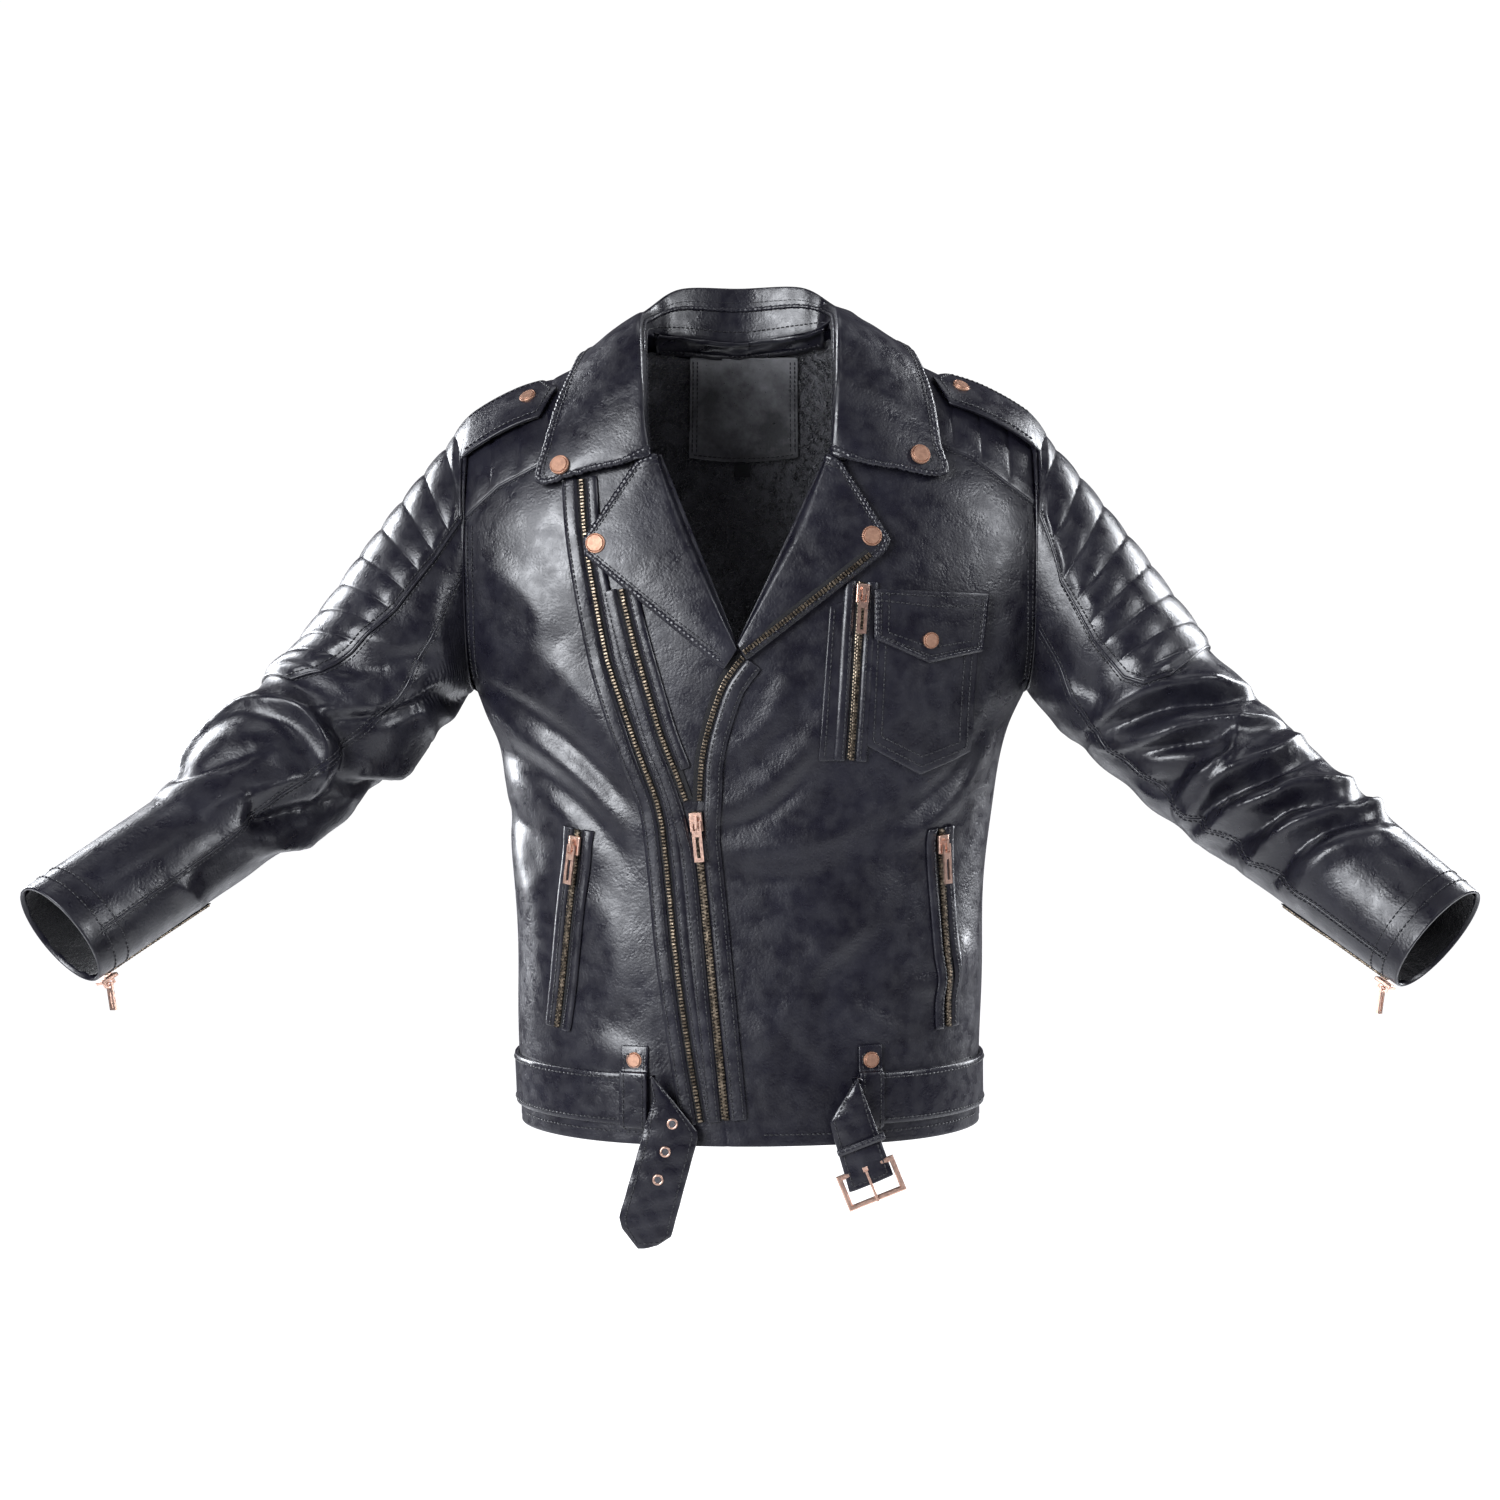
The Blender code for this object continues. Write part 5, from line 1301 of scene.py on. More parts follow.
def torus_faces(sides, round_sides):
    index = np.arange(sides * round_sides).reshape(sides, round_sides)
    a, b = index, np.roll(index, -1, 1)
    return np.stack((a, b, np.roll(b, -1, 0), np.roll(a, -1, 0)), -1).reshape(-1, 4)


def ring_mesh(centre, normal, radius, girth):
    """A round ring lying across a normal."""
    sides, round_sides = 36, 10
    side = unit(np.cross(normal, (0.31, 0.2, 1.0)))
    up = np.cross(normal, side)
    turns = np.linspace(0, 2 * math.pi, sides, endpoint=False)
    path = centre + (np.cos(turns)[:, None] * side + np.sin(turns)[:, None] * up) * radius
    out = unit(path - centre)
    small = np.linspace(0, 2 * math.pi, round_sides, endpoint=False)
    verts = path[:, None] + out[:, None] * np.cos(small)[None, :, None] * girth
    verts = verts + normal * np.sin(small)[None, :, None] * girth
    return verts.reshape(-1, 3), torus_faces(sides, round_sides)


def hanging(name, left, right, body, node, thickness, bow):
    """A strap hanging from its upper end, with stitched edges."""
    left, right = even(left, 0.002)[::-1], even(right, 0.002)[::-1]
    v = np.linspace(0, 1, 90)
    west, east = along(left, v), along(right, v)
    u = np.linspace(0, 1, 21)[None, :, None]
    flat = mix(west[:, None], east[:, None], u)
    x, z = flat[..., 0], flat[..., 1]
    across = 2 * u[..., 0] - 1
    y = STRAP_Y - thickness / 2 + bow * np.sin((z + 0.54) * 28) + 0.0020 * across**2
    y = y + 0.00035 * (np.sin(z * 310 + x * 140) * np.sin(z * 97 - x * 230))
    points = np.stack((x, y, z), -1)
    normals = facing(grid_normals(points), 40, 10, FORWARD)
    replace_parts(strap(name, points, normals, thickness, 0.0009, body), node)
    runs = [(points[3:-3, k] + normals[3:-3, k] * STITCH_LIFT, normals[3:-3, k]) for k in (2, -3)]
    runs.append((points[3, 2:-2], normals[3, 2:-2]))
    stitches(f"{name}_stitches", runs, body)
    return points


EYELET_RADIUS, HOLE_RADIUS = 0.0034, 0.0031
HOLE_SIDES = 24
BUCKLE_START, BUCKLE_END, BUCKLE_DEEP = np.array((0.0677, -0.6178)), np.array((0.1065, -0.6020)), 0.0240


def straps():
    front = hanging("tongue_strap", TONGUE_LEFT, TONGUE_RIGHT, "belt_tongue", "belt_tongue", 0.0040, 0.0010)
    front = front.reshape(-1, 3)
    rings, hole_shades = [], []
    turns = np.linspace(0, 2 * math.pi, HOLE_SIDES, endpoint=False)
    out_x, out_z = np.cos(turns) * HOLE_RADIUS, np.sin(turns) * HOLE_RADIUS
    fan = [(k, (k + 1) % HOLE_SIDES, HOLE_SIDES) for k in range(HOLE_SIDES)]
    for x, z in EYELETS:
        y = front[np.argmin(np.hypot(front[:, 0] - x, front[:, 2] - z)), 1]
        rings.append(ring_mesh(np.array((x, y - 0.0003, z)), np.array((0, -1.0, 0)), EYELET_RADIUS, 0.0009))
        # No hole is cut: a matte disc in the pile's colour fills each eyelet as painted shade of the open
        # hole.
        hole = np.stack((x + out_x, np.full(HOLE_SIDES, y - 0.0006), z + out_z), -1)
        hole_shades.append((np.concatenate((hole, [(x, y - 0.0004, z)])), fan))
    merged("tongue_eyelets", rings, ROSE, "belt_tongue")
    merged("tongue_eyelet_hole_shades", hole_shades, PILE, "belt_tongue")
    start, end = BUCKLE_START, BUCKLE_END
    along_bar = (end - start) / np.linalg.norm(end - start)
    down = np.array((along_bar[1], -along_bar[0]))
    low_left = start + along_bar * 0.0034 + down * 0.0120
    low_right = end - along_bar * 0.0034 + down * 0.0120
    left = [(0.0800, -0.5415), (0.0608, -0.5740), (0.0618, -0.5800), (0.0690, -0.6050), tuple(low_left)]
    right = [(0.0822, -0.5415), (0.0826, -0.5450), (0.0985, -0.5880), (0.1030, -0.6010), tuple(low_right)]
    hanging("buckle_strap_leather", left, right, "buckle_strap", "belt_buckle_strap", 0.0056, 0.0)
    keeper = mix(np.array((0.0668, -0.5975)), np.array((0.1006, -0.5842)), np.linspace(0, 1, 30)[:, None])
    line = np.stack((keeper[:, 0], np.full(30, STRAP_Y - 0.0046), keeper[:, 1]), -1)
    forward = np.tile((0.0, -1.0, 0.0), (30, 1))
    grid, normals = strip(line, forward, 0.0036, 0.0010, 0.0008)
    leather("buckle_keeper", grid, normals, 0.0024, "buckle_strap", SMOOTH_LEATHER)
    stitches("buckle_keeper_stitches", [(line + (0, -0.0011, 0), forward)], "buckle_strap")
    buckle_frame(start, end, along_bar, down)


# The section of the buckle's bars: outwards, forwards.
BAR_SECTION = (
    (-0.0018, -0.0009), (-0.0018, 0.0009), (-0.0009, 0.0018), (0.0012, 0.0018),
    (0.0022, 0.0009), (0.0022, -0.0009), (0.0012, -0.0018), (-0.0009, -0.0018),
)


def buckle_frame(start, end, along_bar, down):
    """The buckle's frame: four flat bars with bevelled edges, mitred at the corners."""
    corners = [start, end, end + down * BUCKLE_DEEP, start + down * BUCKLE_DEEP]
    rings = []
    for corner, (a, b) in zip(corners, ((-1, -1), (1, -1), (1, 1), (-1, 1))):
        out = along_bar * a + down * b
        rings.append([(corner[0] + out[0] * o, STRAP_Y - h, corner[1] + out[1] * o) for o, h in BAR_SECTION])
    verts, faces = np.array(rings).reshape(-1, 3), torus_faces(len(corners), len(BAR_SECTION))
    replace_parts(put("buckle_frame_bars", verts, faces, ROSE, "buckle_frame", smooth=False), "buckle_frame")


# ---------------------------------------------------------------- sleeves

ELBOW = {"right": (-0.3400, -0.0500, -0.2911), "left": (0.3541, -0.0500, -0.3013)}
WRIST = {"right": (-0.4903, -0.2350, -0.4154), "left": (0.4972, -0.2000, -0.4256)}
SLEEVE_RADII = {
    "right": (0.074, 0.0640, 0.0590, 0.0530, 0.0430, 0.0415),
    "left": (0.074, 0.0645, 0.0590, 0.0540, 0.0495, 0.0445),
}
# The points of a sleeve's grid, coarse and fine, and the elbow's share of its length.
AROUND, ALONG = 72, 128
FINE_AROUND, FINE_ALONG = 168, 300
BEND = 0.46
# The height of the arms' middle at the body, and how far from the middle the sleeves and their heads begin.
ARM_MIDDLE, ARM_START, SLEEVE_HEAD = -0.146, 0.202, 0.2205
ELBOW_RADIUS, CUFF_RADIUS = 0.057, 0.045
BELOW = np.array((0, -0.25, -1.0))
# The ribbed pads: where they start and end along the sleeve, and their half widths towards the
# front and the back, as (share along, share of a turn).
PAD_FROM, PAD_TO = 0.010, {"right": 0.448, "left": 0.345}
PAD_FRONT = {
    "right": ((0.0, 0.165), (0.09, 0.183), (0.21, 0.185), (0.33, 0.163), (0.40, 0.145), (0.448, 0.100)),
    "left": ((0.0, 0.140), (0.08, 0.240), (0.20, 0.258), (0.29, 0.248), (0.325, 0.225), (0.345, 0.180)),
}
PAD_BACK = ((0.0, 0.165), (0.30, 0.165), (0.45, 0.110))
PAD_SKEW, PAD_LENGTH = {"right": 0.048, "left": 0.050}, 0.46


def smooth(t):
    t = np.clip(t, 0, 1)
    return t * t * (3 - 2 * t)


def arm(side):
    """The arm's shoulder, elbow and wrist, and the ways from the elbow to the two others."""
    top = np.array((HANDS[side] * ARM_START, 0.0, ARM_MIDDLE))
    elbow, wrist = np.array(ELBOW[side]), np.array(WRIST[side])
    return top, elbow, wrist, unit(top - elbow), unit(wrist - elbow)


def oval(flat, deep, tall):
    """How far the armhole's oval stands off its centre in each direction."""
    return (np.abs(flat[:, 1] / deep) ** SQUARE + np.abs(flat[:, 2] / tall) ** SQUARE) ** (-1 / SQUARE)


def sleeve_form(side):
    """Rings of the sleeve before it creases, from the armhole to the cuff."""
    top, elbow, wrist, up, down = arm(side)
    hinge = unit(np.cross(up, down))
    s = np.linspace(0, 1, ALONG)
    reach, spread = 0.055, 0.11
    before, after = elbow + up * reach, elbow + down * reach
    first, last = (top - before), (wrist - after)
    centres = []
    for value in s:
        if value < BEND - spread:
            centres.append(before + first * (1 - value / (BEND - spread)))
        elif value > BEND + spread:
            centres.append(after + last * (value - BEND - spread) / (1 - BEND - spread))
        else:
            t = (value - BEND + spread) / (2 * spread)
            centres.append((1 - t) ** 2 * before + 2 * t * (1 - t) * elbow + t**2 * after)
    centres = np.array(centres)
    ahead = unit(np.gradient(centres, axis=0))
    inner = unit(np.cross(hinge, ahead))
    if np.dot(inner[ALONG // 2], down + up) < 0:
        inner = -inner
    radius = np.interp(s, (0, 0.25, BEND, 0.60, 0.75, 1.0), SLEEVE_RADII[side])
    below = unit(BELOW - down * np.dot(BELOW, down))
    true = mix(ELBOW_RADIUS, CUFF_RADIUS, np.clip((s - BEND) / (1 - BEND), 0, 1))
    centres = centres + below * ((true - radius) * smooth((s - 0.55) / 0.15))[:, None]
    circle = circles(inner, np.cross(-ahead, inner), AROUND)
    flatten = 1 - 0.30 * smooth((s - 0.72) / 0.26)[:, None, None]
    deep = unit(np.array((0, 1.0, 0)) - down * down[1])
    depth = (circle * deep).sum(-1, keepdims=True)
    circle = circle - deep * depth * (1 - flatten)
    rings = centres[:, None] + circle * radius[:, None, None]
    inner_top = unit(down - up * np.dot(down, up))
    turns = circle_turns(AROUND)
    outward = inner_top * np.cos(turns)[:, None] + np.cross(up, inner_top) * np.sin(turns)[:, None]
    flat = unit(outward * (0, 1, 1))
    head = np.array((HANDS[side] * SLEEVE_HEAD, 0.0, ARM_MIDDLE)) + flat * oval(flat, 0.0680, 0.1050)[:, None]
    blend_to = int(ALONG * 0.33)
    for j in range(blend_to):
        t = j / blend_to
        ring = mix(head, rings[blend_to], t)
        rings[j] = ring + (ring - ring.mean(0, keepdims=True)) * 0.05 * math.sin(math.pi * t)
    return rings, s


def pad_turn(side):
    """The share of a turn at which the middle of the pad lies."""
    *_, up, down = arm(side)
    inner = unit(down - up * np.dot(down, up))
    turns = np.arange(720) / 720
    angle = turns * 2 * math.pi
    outward = inner * np.cos(angle)[:, None] + np.cross(up, inner) * np.sin(angle)[:, None]
    sky = np.array((HANDS[side] * 0.25, 0.0, 1.0))
    return turns[int(np.argmax(outward @ sky))]


def pad_half(side, s, front):
    """Half width of the pad on one side of its middle line."""
    table = np.array(PAD_FRONT[side] if front else PAD_BACK)
    return np.interp(s, table[:, 0], table[:, 1])


def off_pad(side, share):
    """0 on the middle line of the pad, 0.5 opposite it."""
    return np.abs((share - pad_turn(side) + 0.5) % 1 - 0.5)


# Folds laid on the sleeves: height (negative for a valley), half width, then points of
# (share along, share of a turn).
SLEEVE_FOLDS = {
    "right": (
        (0.0090, 0.0110, (0.690, 0.76), (0.614, 0.790), (0.560, 0.840), (0.530, 0.917), (0.506, 0.990),
         (0.512, 0.056), (0.540, 0.110), (0.565, 0.140)),
        (-0.0095, 0.0080, (0.480, 0.03), (0.472, 0.080), (0.490, 0.130), (0.540, 0.175)),
        (0.0065, 0.0085, (0.496, 0.986), (0.409, 0.056), (0.315, 0.125), (0.031, 0.25)),
        (-0.0090, 0.0085, (0.457, 0.042), (0.362, 0.111), (0.213, 0.200), (0.039, 0.280)),
        (-0.0105, 0.0085, (0.677, 0.069), (0.677, 0.125), (0.606, 0.181), (0.520, 0.208)),
        (0.0050, 0.0085, (0.685, 0.042), (0.614, 0.083), (0.543, 0.125)),
        (0.0095, 0.0105, (0.690, 0.185), (0.600, 0.262), (0.488, 0.292)),
        (-0.0080, 0.0075, (0.520, 0.170), (0.457, 0.250), (0.433, 0.292)),
        (0.0090, 0.0100, (0.472, 0.190), (0.400, 0.270), (0.331, 0.292)),
        (-0.0075, 0.0095, (0.677, 0.736), (0.693, 0.800), (0.690, 0.870), (0.654, 0.940), (0.614, 0.986)),
        (0.0040, 0.0070, (0.840, 0.12), (0.827, 0.18), (0.811, 0.26)),
        (0.0030, 0.0100, (0.300, 0.95), (0.250, 0.04), (0.110, 0.16)),
        (-0.0030, 0.0090, (0.400, 0.93), (0.330, 0.02), (0.180, 0.13)),
        (0.0070, 0.0120, (0.560, 0.70), (0.500, 0.60), (0.490, 0.50), (0.540, 0.42)),
        (-0.0060, 0.0100, (0.500, 0.68), (0.450, 0.58), (0.440, 0.48), (0.480, 0.40)),
        (0.0060, 0.0110, (0.430, 0.60), (0.400, 0.50), (0.410, 0.40)),
    ),
    "left": (
        (0.0090, 0.0090, (0.299, 0.84), (0.339, 0.975), (0.394, 0.060), (0.441, 0.125), (0.450, 0.20)),
        (-0.0100, 0.0080, (0.325, 0.83), (0.378, 0.958), (0.441, 0.069), (0.470, 0.15)),
        (0.0085, 0.0080, (0.362, 0.833), (0.417, 0.931), (0.472, 0.014), (0.520, 0.075), (0.545, 0.16)),
        (0.0100, 0.0078, (0.512, 0.045), (0.549, 0.995), (0.540, 0.950), (0.526, 0.900), (0.512, 0.82)),
        (-0.0085, 0.0070, (0.409, 0.875), (0.472, 0.958), (0.512, 0.005)),
        (-0.0055, 0.0070, (0.433, 0.800), (0.488, 0.850), (0.500, 0.92)),
        (0.0095, 0.0080, (0.535, 0.79), (0.560, 0.870), (0.570, 0.935), (0.591, 0.000), (0.606, 0.083),
         (0.575, 0.20)),
        (-0.0090, 0.0070, (0.560, 0.80), (0.578, 0.875), (0.614, 0.958), (0.638, 0.056), (0.640, 0.14)),
        (0.0100, 0.0085, (0.567, 0.76), (0.614, 0.889), (0.661, 0.972), (0.677, 0.028), (0.715, 0.125),
         (0.700, 0.21)),
        (-0.0100, 0.0075, (0.622, 0.78), (0.677, 0.903), (0.685, 0.944), (0.701, 0.000), (0.756, 0.097),
         (0.750, 0.17)),
        (0.0105, 0.0085, (0.677, 0.77), (0.717, 0.931), (0.748, 0.014), (0.775, 0.150), (0.760, 0.22)),
        (-0.0080, 0.0085, (0.740, 0.80), (0.756, 0.931), (0.772, 0.014), (0.811, 0.125)),
        (0.0040, 0.0120, (0.787, 0.80), (0.795, 0.944), (0.819, 0.028), (0.830, 0.12)),
        (0.0028, 0.0090, (0.020, 0.74), (0.160, 0.80), (0.280, 0.85)),
        (-0.0030, 0.0085, (0.020, 0.79), (0.180, 0.84), (0.300, 0.90)),
        (0.0070, 0.0120, (0.560, 0.32), (0.500, 0.42), (0.490, 0.52), (0.540, 0.62)),
        (-0.0060, 0.0100, (0.500, 0.34), (0.450, 0.44), (0.440, 0.54), (0.480, 0.64)),
        (0.0070, 0.0110, (0.640, 0.34), (0.600, 0.44), (0.590, 0.54), (0.610, 0.66)),
    ),
}


def strokes(side, rings, s):
    """Height of the laid folds at every point of the sleeve's grid."""
    girth = np.linalg.norm(np.diff(rings, axis=1), axis=-1).sum(1).mean()
    length = np.linalg.norm(np.diff(rings, axis=0), axis=-1).sum(0).mean()
    share = np.arange(AROUND) / AROUND
    total = np.zeros((ALONG, AROUND))
    for height, half, *points in SLEEVE_FOLDS[side]:
        points = np.array(points, float)
        points[:, 1] = np.unwrap(points[:, 1] * 2 * math.pi) / (2 * math.pi)
        line = curve(points, 60)
        taper = np.sin(np.linspace(0.12, math.pi - 0.12, 60)) ** 0.6
        ds = (s[:, None, None] - line[:, 0]) * length
        dt = ((share[None, :, None] - line[:, 1] + 0.5) % 1 - 0.5) * girth
        away = np.sqrt(ds**2 + dt**2)
        near = np.argmin(away, axis=-1)
        closest = np.take_along_axis(away, near[..., None], -1)[..., 0]
        ahead = np.gradient(line, axis=0) * (length, girth)
        side_of = np.take_along_axis(ds, near[..., None], -1)[..., 0] * ahead[near, 1]
        side_of = side_of - np.take_along_axis(dt, near[..., None], -1)[..., 0] * ahead[near, 0]
        wide = half * np.where(side_of < 0, 1.35, 0.70)
        total += height * 1.25 * np.exp(-((closest / wide) ** 2 + 0.02) ** 0.75) * taper[near]
    calm = smooth(np.minimum(s / 0.05, (0.97 - s) / 0.05))[:, None]
    from_pad = smooth((off_pad(side, share) - 0.12) / 0.07)[None]
    past_pad = smooth((s - PAD_TO[side]) / 0.02)[:, None]
    return total * calm * np.maximum(from_pad, past_pad)


CLOTH = {
    "vertex_group_mass": "pin",
    "pin_stiffness": 5.0,
    "quality": 6,
    "mass": 0.4,
    "air_damping": 4.0,
    "tension_stiffness": 30,
    "compression_stiffness": 30,
    "shear_stiffness": 12,
    "bending_stiffness": 9.0,
    "bending_damping": 3.0,
    "tension_damping": 15,
    "compression_damping": 15,
    "shear_damping": 15,
    "use_pressure": True,
    "uniform_pressure_force": 2.2,
}
CLOTH_FRAMES = 22
# How far the simulation may move a point.
MOST_MOVED = 0.010


def creased(side):
    """The sleeve's grid after it has been pushed together lengthwise and let settle."""
    rings, s = sleeve_form(side)
    share = np.arange(AROUND) / AROUND
    soft = smooth((off_pad(side, share) - 0.13) / 0.12)[None]
    crook = np.exp(-(((s - BEND) / 0.17) ** 2))[:, None]
    upper = np.exp(-(((s - 0.22) / 0.16) ** 2))[:, None]
    slack = 1.01 + 0.13 * crook * (0.25 + 0.75 * soft) + 0.05 * upper * soft
    normals = grid_normals(rings, ring=True)
    if ((rings[60] - rings[60].mean(0)) * normals[60]).sum() < 0:
        normals = -normals
    waves = 2.1 * np.sin(share * 2 * math.pi + 1.0)[None]
    phase = s[:, None] * 61 + waves + (1.3 if side == "right" else 0.2)
    start = np.sin(phase) * 0.0016 * crook + np.sin(phase * 0.61 + 1) * 0.0009 * upper * soft
    start = start * smooth(np.minimum(s, 1 - s) / 0.06)[:, None]
    laid = normals * strokes(side, rings, s)[..., None]
    begin = rings + normals * start[..., None]
    mesh = bpy.data.meshes.new("creasing")
    mesh.from_pydata(begin.reshape(-1, 3).tolist(), [], grid_faces(ALONG, AROUND, ring=True).tolist())
    mesh.update()
    obj = bpy.data.objects.new("creasing", mesh)
    bpy.context.scene.collection.objects.link(obj)
    obj.shape_key_add(name="Basis")
    rest = obj.shape_key_add(name="rest")
    steps = np.diff(rings, axis=0) * slack[:-1, :, None]
    long = np.concatenate((rings[:1], rings[:1] + np.cumsum(steps, axis=0)))
    rest.data.foreach_set("co", long.reshape(-1).astype(np.float32))
    rest.value = 0.0
    pin = obj.vertex_groups.new(name="pin")
    held = np.maximum(smooth((0.030 - s) / 0.02), smooth((s - 0.955) / 0.02))
    for j in range(ALONG):
        if held[j] > 0.01:
            pin.add(list(range(j * AROUND, (j + 1) * AROUND)), float(held[j]), "REPLACE")
    cloth = obj.modifiers.new("cloth", "CLOTH")
    cloth.settings.rest_shape_key = rest
    for key, value in CLOTH.items():
        setattr(cloth.settings, key, value)
    cloth.settings.effector_weights.gravity = 0
    cloth.collision_settings.use_collision = False
    cloth.point_cache.frame_start, cloth.point_cache.frame_end = 1, CLOTH_FRAMES
    scene = bpy.context.scene
    for number in range(1, CLOTH_FRAMES + 1):
        scene.frame_set(number)
    settled = obj.evaluated_get(bpy.context.evaluated_depsgraph_get()).to_mesh()
    out = np.empty(len(settled.vertices) * 3, np.float32)
    settled.vertices.foreach_get("co", out)
    scene.frame_set(1)
    bpy.data.objects.remove(obj)
    moved = out.reshape(ALONG, AROUND, 3).astype(float) - rings
    for _ in range(2):
        beside = (np.roll(moved, 1, 1) + np.roll(moved, -1, 1)) / 4
        moved = moved / 2 + beside
        moved[1:-1] = moved[1:-1] / 2 + (moved[2:] + moved[:-2]) / 4
    size = np.linalg.norm(moved, axis=-1, keepdims=True)
    return rings + laid + moved * (MOST_MOVED * np.tanh(size / MOST_MOVED) / np.maximum(size, 1e-9))


def cubic(values, place, ring):
    """Catmull-Rom along the first axis at fractional places."""
    count = len(values)
    k = np.floor(place).astype(int)
    if not ring:
        k = np.clip(k, 0, count - 2)
    t = (place - k).reshape(-1, *([1] * (values.ndim - 1)))

    def take(i):
        return values[i % count] if ring else values[np.clip(i, 0, count - 1)]

    return catmull_rom(take(k - 1), take(k), take(k + 1), take(k + 2), t)


class Sleeve:
    """A creased sleeve that other pieces can be laid on, by share along and share of a turn."""

    def __init__(self, side):
        self.side = side
        self.grid = creased(side)
        normals = grid_normals(self.grid, ring=True)
        middle = self.grid.mean(1, keepdims=True)
        self.normals = -normals if ((self.grid - middle) * normals).sum() < 0 else normals

    def dense(self, along_shares, turn_shares):
        place, turn = along_shares * (ALONG - 1), (turn_shares % 1) * AROUND
        rows = cubic(self.grid, place, False)
        normals = cubic(self.normals, place, False)
        points = cubic(rows.transpose(1, 0, 2), turn, True).transpose(1, 0, 2)
        normals = cubic(normals.transpose(1, 0, 2), turn, True).transpose(1, 0, 2)
        return points, unit(normals)

    def spots(self, s, turn, lift=0.0):
        """(points, normals) at arrays of shares."""
        s, turn = np.broadcast_arrays(np.asarray(s, float), np.asarray(turn, float))
        place, around = np.clip(s, 0, 1) * (ALONG - 1), (turn % 1) * AROUND
        j = np.clip(np.floor(place).astype(int), 0, ALONG - 2)
        i = np.floor(around).astype(int) % AROUND
        v, u = (place - j)[..., None], (around - np.floor(around))[..., None]
        found = []
        for table in (self.grid, self.normals):
            low = mix(table[j, i], table[j, (i + 1) % AROUND], u)
            high = mix(table[j + 1, i], table[j + 1, (i + 1) % AROUND], u)
            found.append(mix(low, high, v))
        normal = unit(found[1])
        return found[0] + normal * np.asarray(lift)[..., None], normal
    def bend(self, obj):
        """Bakes the piece's transform into its mesh."""
        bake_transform(obj)


def sleeve(side):
    made = Sleeve(side)
    turn = np.arange(FINE_AROUND) / FINE_AROUND
    points, normals = made.dense(np.linspace(0, 1, FINE_ALONG), turn)
    fresh = grid_normals(points, ring=True)
    fresh *= np.sign((fresh * normals).sum(-1, keepdims=True))
    body = leather(f"{side}_sleeve", points, fresh, 0.0022, None, LEATHER, ring=True)
    made.bend(body)
    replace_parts(body, f"{side}_upper_sleeve", f"{side}_forearm_sleeve")
    # The lining seen in the cuff opening, near-black as painted shade.
    rows = 70
    inner, inner_normals = made.dense(np.linspace(0.60, 0.994, rows), np.arange(AROUND) / AROUND)
    angle = turn[:AROUND] * 2 * math.pi
    ragged = np.sin(angle * 23) * 0.0006 + np.sin(angle * 41) * 0.0005
    inner[-1] = inner[-1] + (inner[-1] - inner[-3]) * 0.2 + ragged[:, None] * unit(inner[-1] - inner[-3])
    inner = inner - inner_normals * 0.0040
    made.bend(put(f"{side}_cuff_lining", inner, grid_faces(rows, AROUND, ring=True).tolist(), SLEEVE_CLOTH_PAINTED_SHADE))

    middle, forwards = pad_turn(side), -HANDS[side]
    first, last = PAD_FROM, PAD_TO[side]
    u = np.linspace(-1, 1, 81)[None]
    v = np.linspace(first, last, 190)[:, None]
    half = np.where(u * forwards > 0, pad_half(side, v, True), pad_half(side, v, False))
    turn_grid, s_grid = middle + u * half, v + 0.0 * u
    rib_place = (s_grid + u * forwards * PAD_SKEW[side]) * PAD_LENGTH
    edge = np.clip((1 - np.abs(u)) / 0.16, 0, 1)
    edge = edge * np.clip(np.minimum(v - first, last - v) / 0.016, 0, 1)
    lift = 0.0022 + (quilted(rib_place, 0.0205, 0.0026) + 0.0008) * smooth(edge)
    spots = made.spots(s_grid, turn_grid, lift)
    pad = leather(f"{side}_ribbed_pad", *spots, 0.0034, None, LEATHER, rim=0.0012)
    made.bend(pad)
    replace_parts(pad, f"{side}_sleeve_pad")

    runs, cords = [], []
    v_line = np.linspace(first, last, 140)
    for sign in (-1, 1):
        at = middle + sign * pad_half(side, v_line, sign == forwards)
        cords.append(tube(*made.spots(v_line, at + sign * 0.004, 0.0012), 0.0013))
        runs.append(made.spots(v_line, at + sign * 0.013, 0.0002))
        runs.append(made.spots(v_line, at - sign * 0.008, 0.0030))
    for end in (first, last):
        ends = [middle + sign * pad_half(side, end, sign == forwards) for sign in (-1, 1)]
        cords.append(tube(*made.spots(np.full(60, end), np.linspace(*ends, 60), 0.0012), 0.0013))
    v_line = np.linspace(0.02, 0.975, 260)
    for offset in (0.30, 0.62):
        turn_line = np.full(260, middle + offset)
        cords.append(tube(*made.spots(v_line, turn_line, -0.0002), 0.0009))
        runs += [made.spots(v_line, turn_line + aside, STITCH_LIFT) for aside in (-0.008, 0.008)]
    for s_cuff in (0.972, 0.948):
        runs.append(made.spots(np.full(150, s_cuff), np.linspace(0, 1, 150), STITCH_LIFT))
    made.bend(merged(f"{side}_sleeve_seams", cords, LEATHER))
    made.bend(stitches(f"{side}_sleeve_stitches", runs))
    cuff_zip(side, made)


